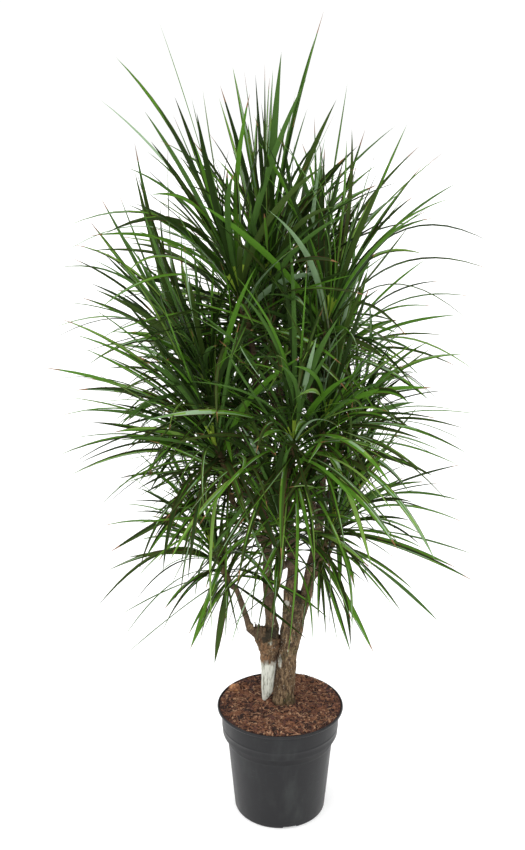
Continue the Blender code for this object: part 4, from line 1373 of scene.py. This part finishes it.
def chip_pattern():
    """A cube with its upright edges cut off."""
    bm = bmesh.new()
    bmesh.ops.create_cube(bm, size=1.0)
    ends = [edge for edge in bm.edges if abs((edge.verts[0].co - edge.verts[1].co).z) > 0.5]
    bmesh.ops.bevel(
        bm, geom=ends, offset=CHIP_CORNER, affect="EDGES", segments=1, profile=0.5, material=-1
    )
    bmesh.ops.recalc_face_normals(bm, faces=bm.faces[:])
    return pattern_of(bm)


def fibre_pattern(steps):
    """A three-sided tube from z 0 to 1."""
    bm = bmesh.new()
    bmesh.ops.create_circle(bm, segments=3, radius=1)
    edges = bm.edges[:]
    for _ in range(steps):
        grown = bmesh.ops.extrude_edge_only(bm, edges=edges)["geom"]
        verts = [g for g in grown if isinstance(g, bmesh.types.BMVert)]
        bmesh.ops.translate(bm, verts=verts, vec=(0, 0, 1 / steps))
        edges = [g for g in grown if isinstance(g, bmesh.types.BMEdge)]
    bmesh.ops.holes_fill(bm, edges=bm.edges[:], sides=0)
    bmesh.ops.recalc_face_normals(bm, faces=bm.faces[:])
    return pattern_of(bm)


class DRAGONTREE_OT_mix(bpy.types.Operator):
    """Add the potting mix with its chips and fibres"""

    bl_idname = "dragon_tree.add_mix"
    bl_label = "Add potting mix"

    def execute(self, context):
        look = settings(context, "mix")
        wall = POT_WALL + MIX_CLEARANCE
        profile = [(MIX_RADIUS * k / MIX_RINGS, MIX_TOP) for k in range(MIX_RINGS + 1)]
        profile += [
            (COLLAR_INNER[0] - MIX_EDGE_CLEARANCE[0], COLLAR_INNER[1] - MIX_EDGE_CLEARANCE[1]),
            (POT_COLLAR_TOP_RADIUS - wall, POT_HEIGHT - COLLAR_INNER_DROP - MIX_EDGE_CLEARANCE[0]),
            (POT_COLLAR_FOOT_RADIUS - wall, POT_COLLAR_FOOT + wall),
            (POT_BODY_TOP_RADIUS - wall, POT_STEP_FOOT + wall),
            (POT_BASE_RADIUS - wall, POT_FLOOR + MIX_CLEARANCE),
            (0, POT_FLOOR + MIX_CLEARANCE),
        ]
        bm = spun(profile, MIX_SIDES)
        for vert in bm.verts:
            if vert.co.z > MIX_TOP - 1e-5:
                vert.co.z = mix_height(vert.co.x, vert.co.y, look.relief)
        mesh = to_mesh("potting_mix", bm)
        add_piece("potting_mix", mesh, [mix_material(look)], ["soil"], MIX_SMOOTH)
        self.add_chips(look)
        self.add_fibres(look)
        self.add_lump(look)
        return {"FINISHED"}

    def add_lump(self, look):
        """The one large lump, half sunk in the mix."""
        bm = bmesh.new()
        bmesh.ops.create_icosphere(bm, subdivisions=4, radius=1)
        for vert in bm.verts:
            vert.co *= 1 + layered(vert.co, LUMP_RELIEF)
        bmesh.ops.scale(bm, verts=bm.verts, vec=LUMP_SIZE)
        bmesh.ops.rotate(bm, verts=bm.verts, cent=(0, 0, 0), matrix=Quaternion(UP, LUMP_TURN).to_matrix())
        bmesh.ops.translate(bm, verts=bm.verts, vec=LUMP_PLACE)
        mesh = to_mesh("mix_lump", bm)
        graph = Graph("dragon_tree_mix_lump")
        patches = graph.noise(graph.place, 150, 4, 0.6)
        colour = graph.mix(tuple(look.lump), tuple(look.russet), graph.between(patches, 0.42, 0.58))
        material = graph.surface(base_color=colour, roughness=0.9, normal=graph.bump(patches, 0.002, 0.7))
        add_piece("mix_lump", mesh, [material], smooth_angle=LUMP_SMOOTH)

    def add_chips(self, look):
        """Chips of bark, darker where the mix is damp."""
        chance = random.Random(3)
        places, faces = chip_pattern()
        parts = []
        for _ in range(look.chips):
            x, y = scattered(chance, CHIP_TRUNK_CLEARANCE)
            size = Vector([chance.uniform(*limits) for limits in CHIP_SIZE])
            if chance.random() < LARGE_CHIP_CHANCE and math.hypot(x, y) < MIX_RADIUS - LARGE_CHIP_EDGE:
                size *= chance.uniform(*LARGE_CHIP_GROWTH)
            turn = Quaternion(UP, chance.uniform(0, 2 * math.pi))
            turn = turn @ Quaternion((1, 0, 0), chance.gauss(0, CHIP_TILT[0]))
            turn = turn @ Quaternion((0, 1, 0), chance.gauss(0, CHIP_TILT[1]))
            middle = Vector((x, y, mix_height(x, y, look.relief) + chance.uniform(*CHIP_LIFT)))
            worn = [
                middle + turn @ Vector([p * s * chance.uniform(*CHIP_WEAR) for p, s in zip(place, size)])
                for place in places
            ]
            damp = noise.noise(Vector((x * DAMP_FINENESS, y * DAMP_FINENESS, DAMP_LAYER)))
            weights = [max(usual + change * damp, LEAST_CHIP_WEIGHT) for usual, change in CHIP_WEIGHTS]
            kind = chance.choices((0, 1, 2, 3), weights)[0]
            parts.append((worn, faces, [kind] * len(faces)))
        materials = [
            plain("dragon_tree_chip_brown", look.brown, 0.92),
            plain("dragon_tree_chip_russet", look.russet, 0.9),
            plain("dragon_tree_chip_dark", look.dark, 0.95),
            plain("dragon_tree_chip_tan", look.tan, 0.88),
        ]
        add_piece("mix_chips", joined("mix_chips", parts), materials)

    def add_fibres(self, look):
        """Thin bent fibres that lie on the mix."""
        chance = random.Random(4)
        places, faces = fibre_pattern(FIBRE_STEPS)
        parts = []
        for _ in range(look.fibres):
            x, y = scattered(chance, FIBRE_TRUNK_CLEARANCE)
            length = chance.uniform(*FIBRE_LENGTH)
            thickness = chance.uniform(*FIBRE_THICKNESS)
            heading = chance.uniform(0, 2 * math.pi)
            curl = chance.uniform(-FIBRE_BEND, FIBRE_BEND)
            path = [Vector((x, y, 0))]
            for k in range(FIBRE_STEPS):
                a = heading + curl * k / FIBRE_STEPS
                path.append(path[-1] + Vector((math.cos(a), math.sin(a), 0)) * length / FIBRE_STEPS)
            lift = chance.uniform(*FIBRE_LIFT)
            arch = chance.uniform(*FIBRE_ARCH)
            bent = []
            for place in places:
                k = round(place.z * FIBRE_STEPS)
                share = k / FIBRE_STEPS
                point = path[k]
                if math.hypot(point.x, point.y) > MIX_RADIUS - FIBRE_EDGE:
                    point = point * ((MIX_RADIUS - FIBRE_EDGE) / math.hypot(point.x, point.y))
                height = mix_height(point.x, point.y, look.relief) + lift + arch * math.sin(math.pi * share)
                a = heading + curl * share
                side = Vector((-math.sin(a), math.cos(a), 0))
                bent.append(Vector((point.x, point.y, height)) + (side * place.x + UP * place.y) * thickness)
            parts.append((bent, faces, chance.choices((0, 1), FIBRE_WEIGHTS) * len(faces)))
        materials = [
            plain("dragon_tree_fibre_russet", look.russet, 0.85),
            plain("dragon_tree_fibre_tan", look.tan, 0.85),
        ]
        add_piece("mix_fibres", joined("mix_fibres", parts), materials)


def droop_of(head, share):
    """How far a leaf bends down. The lowest heads and the oldest leaves bend most."""
    height = (HEADS[head][0][2] - LOW_HEIGHT) / (TOP_HEIGHT - LOW_HEIGHT)
    by_height = DROOP_LOW + (DROOP_TOP - DROOP_LOW) * min(max(height, 0), 1)
    return by_height * (DROOP_OLD + (DROOP_YOUNG - DROOP_OLD) * share)


def leaf_path(head, share, turn, tilt, length, droop, drift, arch):
    """Middle line and sideways direction of one leaf. share is 0 at the oldest and 1 at the youngest."""
    axis = head_axis(head)
    across = axis.orthogonal().normalized()
    beside = axis.cross(across)
    outward = across * math.cos(turn) + beside * math.sin(turn)
    angle = OLD_ANGLE + (YOUNG_ANGLE - OLD_ANGLE) * share**ANGLE_POWER + tilt
    way = axis * math.cos(angle) + outward * math.sin(angle)
    sideways = way.cross(UP)
    sideways = sideways.normalized() if sideways.length > 1e-4 else across
    on_stem = FIRST_LEAF + (LAST_LEAF - FIRST_LEAF) * share
    point = stem_foot(head) + axis * STEM_LENGTH * on_stem + outward * LEAF_ROOT_OFFSET
    pull = (UP * droop_of(head, share) * droop - outward * arch) / LEAF_STEPS
    path = [point.copy()]
    for _ in range(LEAF_STEPS):
        way = (way - pull + sideways * (drift / LEAF_STEPS)).normalized()
        point = point + way * (length / LEAF_STEPS)
        path.append(point.copy())
    return path, sideways


def seen_place(column, row, depth):
    """The place that the photo shows at a column and row, at a given Y."""
    lens = VIEW_LENS / SENSOR_HEIGHT * PHOTO_SIZE[1]
    way = Vector(((column - PHOTO_SIZE[0] / 2) / lens, 1, (PHOTO_SIZE[1] / 2 - row) / lens))
    way = Quaternion((-1, 0, 0), VIEW_TILT) @ way
    return VIEWPOINT + way * ((depth - VIEWPOINT.y) / way.y)


def outline_path(head, tip, arch):
    """Middle line, sideways direction and age share of a leaf that runs from its stem past a seen tip."""
    axis = head_axis(head)
    foot = stem_foot(head)
    spread = min(axis.angle(tip - foot) / OUTLINE_WIDEST, 1)
    share = LAST_LEAF + (FIRST_LEAF - LAST_LEAF) * spread
    root = foot + axis * STEM_LENGTH * share
    tip = root.lerp(tip, OUTLINE_OVERSHOOT)
    outward = (tip - root) - axis * axis.dot(tip - root)
    crest = root.lerp(tip, OUTLINE_CREST) + UP * 2 * arch * (tip - root).length
    crest -= outward * OUTLINE_BOW * (1 - spread)
    steps = [k / LEAF_STEPS for k in range(LEAF_STEPS + 1)]
    path = [root * (1 - s) ** 2 + crest * 2 * s * (1 - s) + tip * s**2 for s in steps]
    return path, (tip - root).cross(UP).normalized(), share


class Rods:
    """Straight pieces with a radius that a leaf keeps clear of."""

    def __init__(self, rows):
        rows = np.array(rows)
        self.starts, self.along, self.radii = rows[:, :3], rows[:, 3:6] - rows[:, :3], rows[:, 6]

    def block(self, points, clearance):
        """Whether any of the points comes too near to a piece."""
        offset = points[:, None, :]
        share = ((offset - self.starts) * self.along).sum(2) / (self.along * self.along).sum(1)
        nearest = self.starts + np.clip(share, 0, 1)[..., None] * self.along
        return bool((((offset - nearest) ** 2).sum(2) < (self.radii + clearance) ** 2).any())


class Room:
    """What a leaf has to fit between: the limbs, the other heads' stems and the planes half way to them."""

    def __init__(self, limbs):
        rows = []
        for limb in limbs.values():
            for i in range(0, len(limb.places) - 1):
                rows.append((*limb.places[i], *limb.places[i + 1], max(limb.halves[i])))
        self.limbs = Rods(rows)
        self.stems = {}
        self.centres = {head: Vector(HEADS[head][0]) + head_axis(head) * SPACE_CENTRE_RISE for head in HEADS}
        for head in HEADS:
            others = [(*stem_foot(other), *HEADS[other][0], STEM_RADIUS) for other in HEADS if other != head]
            self.stems[head] = Rods(others)

    def fits(self, path, head, slack):
        """Whether a leaf's middle line stays in the crown, in its head's space and clear of the wood."""
        points = np.array([tuple(point) for point in path])
        low, high = np.array(CAD_BOX[0]) - BOX_MARGINS[0], np.array(CAD_BOX[1]) + BOX_MARGINS[1]
        if (points.min(0) < low).any() or (points.max(0) > high).any():
            return False
        if (points[:, 2] + LOWEST_LEAF_RISE * np.minimum(points[:, 1], 0)).min() < LOWEST_LEAF:
            return False
        heights, left, right = np.array(CROWN_SIDES).T
        past_left = np.interp(points[:, 2], heights, left) - points[:, 0]
        past_right = points[:, 0] - np.interp(points[:, 2], heights, right)
        if max(past_left.max(), past_right.max(), points[:, 2].max() - CROWN_TOP) > slack:
            return False
        open_place = (points[:, 1] < 0) & (abs(points[:, 0]) < OPEN_HALF_WIDTH) & (points[:, 2] < OPEN_TOP)
        if open_place.any():
            return False
        own = self.centres[head]
        for other, centre in self.centres.items():
            if other != head:
                across = (centre - own).normalized()
                if ((points - np.array((own + centre) / 2)) @ np.array(across)).max() > SPACE_OVERLAP:
                    return False
        if self.limbs.block(points[1:], LIMB_CLEARANCE):
            return False
        return not self.stems[head].block(points, STEM_CLEARANCE)


def leaf_pattern():
    """A straight leaf: across on X from -1 to 1, and along Y from 0 to 1. Z tells a point's depth."""
    bm = bmesh.new()
    ring = bmesh.ops.create_circle(bm, segments=len(LEAF_SECTION), radius=1)["verts"]
    for vert, (across, channel, under) in zip(ring, LEAF_SECTION):
        vert.co = (across, 0, -PATTERN_CHANNEL * channel - PATTERN_UNDER * under)
    edges = bm.edges[:]
    for _ in range(LEAF_STEPS):
        grown = bmesh.ops.extrude_edge_only(bm, edges=edges)["geom"]
        verts = [g for g in grown if isinstance(g, bmesh.types.BMVert)]
        bmesh.ops.translate(bm, verts=verts, vec=(0, 1 / LEAF_STEPS, 0))
        edges = [g for g in grown if isinstance(g, bmesh.types.BMEdge)]
    bmesh.ops.pointmerge(bm, verts=verts, merge_co=(0, 1, 0))
    bmesh.ops.holes_fill(bm, edges=bm.edges[:], sides=0)
    bmesh.ops.recalc_face_normals(bm, faces=bm.faces[:])
    return pattern_of(bm)


def bent_leaf(pattern, path, sideways, half_width, thickness, twist):
    """The pattern's places, laid along a path."""
    places, _ = pattern
    shares = [share for share, _ in LEAF_FULLNESS]
    fullness = [full for _, full in LEAF_FULLNESS]
    rings = []
    for k, point in enumerate(path):
        share = k / LEAF_STEPS
        way = (path[min(k + 1, LEAF_STEPS)] - path[max(k - 1, 0)]).normalized()
        across = (sideways - way * sideways.dot(way)).normalized()
        across = Quaternion(way, twist * (TWIST_AT_FOOT + (1 - TWIST_AT_FOOT) * share)) @ across
        half = half_width * float(np.interp(share, shares, fullness))
        channel = half * (CHANNEL_AT_FOOT - CHANNEL_LOSS * min(share * FLATTENING, 1))
        rings.append((point, across, across.cross(way), half, channel))
    bent = []
    for place in places:
        k = round(place.y * LEAF_STEPS)
        point, across, normal, half, channel = rings[k]
        under = 1 if place.z < PATTERN_UNDER_FROM else 0
        depth = 1 if under else -place.z / PATTERN_CHANNEL
        body = thickness * min(1, half / half_width * TIP_FULLNESS)
        bent.append(point + across * place.x * half - normal * (channel * depth + under * body))
    return bent


def strip_looks(kind, young, gleam):
    """The colour of one strip of a leaf in each step of its length."""
    foot = gleam.uniform(*(YOUNG_FRESH_LENGTH if young else SHADE_LENGTH))
    start = gleam.uniform(*LIT_START)
    end = start + gleam.uniform(*(SHEEN_LENGTH if kind == SHEEN else LIT_LENGTH))
    lit = kind == SHEEN or gleam.random() < LIT_CHANCE
    if kind == SHEEN:
        kind = GREEN
    core = SHEEN if gleam.random() < LIT_SHEEN_CHANCE else BRIGHTER[BRIGHTER[kind]]
    edge = max(BRIGHTER[kind], GREEN) if core == SHEEN else BRIGHTER[kind]
    looks = []
    for step in range(LEAF_STEPS):
        share = (step + 0.5) / LEAF_STEPS
        steps_inside = min(share - start, end - share) * LEAF_STEPS
        if young and share < foot * YOUNG_PALE_SHARE:
            looks.append(FOOT)
        # Painted shade at the foot of an older leaf; a young one's foot is fresh green
        elif share < foot:
            looks.append(FRESH if young else DARKER[kind])
        # Painted highlight over the lit stretch
        elif lit and steps_inside > 0:
            looks.append(core if steps_inside > 1 else edge)
        else:
            looks.append(kind)
    return looks


def leaf_looks(pattern, share, chance, gleam):
    """The number of each face's material: by leaf, with its margin, underside, foot and tip."""
    places, faces = pattern
    weights = [usual + change * share**power for usual, change, power in UPPER_WEIGHTS]
    # The halves are dealt apart, by chance and as painted light and shade on the two sides of the fold
    left, right = chance.choices((DEEP, OLIVE, GREEN, FRESH, SHEEN), weights, k=2)
    if chance.random() < SAME_SIDES_CHANCE:
        right = left
    young = share > YOUNG_FROM
    strips = [strip_looks(left if k < STRIPS / 2 else right, young, gleam) for k in range(STRIPS)]
    under = chance.choices(UNDER_LOOKS, UNDER_WEIGHTS)[0]
    dry = chance.random() < DRY_CHANCE
    looks = []
    for face in faces:
        middle = sum((places[i] for i in face), Vector()) / len(face)
        lowest = min(places[i].z for i in face)
        step = int(middle.y * LEAF_STEPS)
        if abs(middle.x) > STRIP_EDGE:
            looks.append(MARGIN)
        elif middle.y > 1 - DRY_LENGTH and dry:
            looks.append(DRY)
        elif middle.y < (YOUNG_FOOT_LENGTH if young else FOOT_LENGTH):
            looks.append(FOOT if young else OLIVE)
        elif lowest < PATTERN_UNDER_FROM:
            looks.append(under)
        else:
            looks.append(strips[int((middle.x + STRIP_EDGE) / (2 * STRIP_EDGE) * STRIPS)][step])
    return looks


class DRAGONTREE_OT_leaves(bpy.types.Operator):
    """Add every head of leaves on its stem"""

    bl_idname = "dragon_tree.add_leaves"
    bl_label = "Add leaves"

    def execute(self, context):
        look = settings(context, "leaf")
        limbs, _ = limbs_and_forks()
        room = Room(limbs)
        chance = random.Random(look.seed)
        gleam = random.Random(look.seed + 1)
        pattern = leaf_pattern()
        satin = {"specular_ior_level": 0.06}
        materials = [
            plain("dragon_tree_leaf_deep", look.deep, 0.42, **satin),
            plain("dragon_tree_leaf_olive", look.olive, 0.46, **satin),
            plain("dragon_tree_leaf_green", look.full, 0.42, **satin),
            plain("dragon_tree_leaf_fresh", look.fresh, 0.44, **satin),
            plain("dragon_tree_leaf_sheen", look.sheen, 0.32, specular_ior_level=0.6),
            plain("dragon_tree_leaf_foot", look.young, 0.5, **satin),
            plain("dragon_tree_leaf_underside", look.under, 0.55, **satin),
            plain("dragon_tree_leaf_margin", look.margin, 0.6, **satin),
            plain("dragon_tree_leaf_tip", look.dry, 0.7, **satin),
            plain("dragon_tree_head_stem", look.stem, 0.7, **satin),
        ]
        for number, head in enumerate(HEADS):
            parts = [self.stem(head)]
            usual = HEADS[head][1]
            for k in range(look.count):
                share = k / (look.count - 1)
                turn = (k + number) * GOLDEN_ANGLE + chance.uniform(-TURN_CHANCE, TURN_CHANCE)
                tilt = chance.gauss(0, TILT_SPREAD)
                full_length = usual * chance.uniform(*LENGTH_CHANCE)
                droop = chance.uniform(*DROOP_CHANCE)
                drift = chance.gauss(0, DRIFT_SPREAD)
                arch = chance.uniform(*ARCH_CHANCE)
                slack = chance.triangular(*SLACK)
                twist = chance.gauss(0, TWIST_SPREAD)
                slender = np.interp(HEADS[head][0][2], (LOW_HEIGHT, TOP_HEIGHT), SLENDER)
                half_width = look.width / 2 * slender * chance.choice(WIDTH_CHOICES)
                for shortening, lift in ATTEMPTS:
                    length = full_length * shortening
                    lifted = tilt - math.radians(lift)
                    path, sideways = leaf_path(head, share, turn, lifted, length, droop, drift, arch)
                    if room.fits(path, head, slack):
                        bent = bent_leaf(pattern, path, sideways, half_width, look.thickness, twist)
                        parts.append((bent, pattern[1], leaf_looks(pattern, share, chance, gleam)))
                        break
            for *seen, width, arch in OUTLINE_LEAVES.get(head, ()):
                tip = seen_place(*seen)
                tip.x = max(min(tip.x, OUTLINE_REACH), -OUTLINE_REACH)
                arch += chance.uniform(*OUTLINE_ARCH_CHANCE)
                path, sideways, share = outline_path(head, tip, arch)
                twist = chance.choice((-1, 1)) * chance.uniform(*OUTLINE_TWIST)
                bent = bent_leaf(pattern, path, sideways, look.width / 2 * width, look.thickness, twist)
                parts.append((bent, pattern[1], leaf_looks(pattern, share, chance, gleam)))
            name = "leaves_of_" + head
            add_piece(name, joined(name, parts), materials, ["leaves_" + head], LEAF_SMOOTH)
        return {"FINISHED"}

    def stem(self, head):
        """The stem that the leaves stand on. It starts as thick as its bough ends."""
        radius = next(row[4] for row in (*MAIN_BOUGHS, *SIDE_BOUGHS) if row[0] == head)
        foot, axis = stem_foot(head), head_axis(head)
        shares = [k / STEM_STEPS for k in range(STEM_STEPS + 1)]
        swell = np.interp(shares, *zip(*STEM_SWELL))
        limb = Limb([foot + axis * STEM_LENGTH * s for s in shares], [(radius * w,) * 2 for w in swell], None)
        bm = bmesh.new()
        add_tube(bm, limb, STEM_SIDES)
        bmesh.ops.recalc_face_normals(bm, faces=bm.faces[:])
        places, faces = pattern_of(bm)
        return places, faces, [STEM] * len(faces)


class DRAGONTREE_OT_stage(bpy.types.Operator):
    """Add the floor, the soft light and the camera"""

    bl_idname = "dragon_tree.add_stage"
    bl_label = "Add stage"

    def execute(self, context):
        look = settings(context, "stage")
        scene = context.scene
        bm = bmesh.new()
        bmesh.ops.create_circle(bm, cap_ends=True, segments=FLOOR_SIDES, radius=look.floor_radius)
        mesh = to_mesh("floor", bm)
        glow = {"emission_color": (1, 1, 1), "emission_strength": look.floor_glow}
        mesh.materials.append(plain("studio_floor", look.floor_colour, 0.9, **glow))
        floor = bpy.data.objects.new("floor", mesh)
        scene.collection.objects.link(floor)
        scene.world = self.surround(look)
        key = bpy.data.lights.new("key_light", "SUN")
        key.energy = look.key_strength
        key.angle = look.key_spread
        self.place_light(key, KEY_PLACE, KEY_TARGET)
        fill = bpy.data.lights.new("fill_light", "AREA")
        fill.size = FILL_SIZE
        fill.energy = look.fill_power
        self.place_light(fill, FILL_PLACE, FILL_TARGET)
        camera = bpy.data.objects.new("camera", bpy.data.cameras.new("camera"))
        scene.collection.objects.link(camera)
        camera.location = look.camera_place
        camera.rotation_euler = (math.pi / 2 - look.camera_tilt, 0, 0)
        camera.data.lens = look.camera_lens
        scene.camera = camera
        scene.view_settings.view_transform = "Standard"
        scene.view_settings.look = "None"
        return {"FINISHED"}

    def surround(self, look):
        """A white surround, brightest at eye level."""
        world = bpy.data.worlds.new("studio")
        world.use_nodes = True
        nodes, links = world.node_tree.nodes, world.node_tree.links
        way = nodes.new("ShaderNodeTexCoord")
        split = nodes.new("ShaderNodeSeparateXYZ")
        fade = nodes.new("ShaderNodeMapRange")
        fade.interpolation_type = "SMOOTHSTEP"
        for name, value in (
            ("From Min", math.sin(SURROUND_FADE[0])),
            ("From Max", math.sin(SURROUND_FADE[1])),
            ("To Min", look.surround_low),
            ("To Max", look.surround_high),
        ):
            fade.inputs[name].default_value = value
        links.new(way.outputs["Generated"], split.inputs[0])
        links.new(split.outputs["Z"], fade.inputs["Value"])
        links.new(fade.outputs[0], nodes["Background"].inputs["Strength"])
        nodes["Background"].inputs["Color"].default_value = (1, 1, 1, 1)
        return world

    def place_light(self, data, place, target):
        """Stands a light at a place, facing the target."""
        light = bpy.data.objects.new(data.name, data)
        light.location = place
        light.rotation_euler = (Vector(target) - Vector(place)).to_track_quat("-Z", "Y").to_euler()
        bpy.context.scene.collection.objects.link(light)


class DRAGONTREE_PT_panel(bpy.types.Panel):
    """Sizes and colours of the plant, and a button for each piece"""

    bl_idname = "DRAGONTREE_PT_panel"
    bl_label = "Dragon Tree"
    bl_space_type = "VIEW_3D"
    bl_region_type = "UI"
    bl_category = "Dragon Tree"

    def draw(self, context):
        for operator in OPERATORS:
            self.layout.operator(operator.bl_idname)
        for kind, group in SETTINGS:
            box = self.layout.box()
            box.label(text=kind.title())
            for name in group.__annotations__:
                box.prop(settings(context, kind), name)


OPERATORS = (
    DRAGONTREE_OT_pot,
    DRAGONTREE_OT_mix,
    DRAGONTREE_OT_wood,
    DRAGONTREE_OT_leaves,
    DRAGONTREE_OT_stage,
)
CLASSES = (*(group for _, group in SETTINGS), *OPERATORS, DRAGONTREE_PT_panel)


def register():
    for item in CLASSES:
        bpy.utils.register_class(item)
    for kind, group in SETTINGS:
        setattr(bpy.types.Scene, "dragon_tree_" + kind, PointerProperty(type=group))


def unregister():
    for kind, _ in SETTINGS:
        delattr(bpy.types.Scene, "dragon_tree_" + kind)
    for item in reversed(CLASSES):
        bpy.utils.unregister_class(item)


def main():
    register()
    bpy.ops.dragon_tree.add_pot()
    bpy.ops.dragon_tree.add_mix()
    bpy.ops.dragon_tree.add_wood()
    bpy.ops.dragon_tree.add_leaves()
    bpy.ops.dragon_tree.add_stage()


if __name__ == "__main__":
    main()
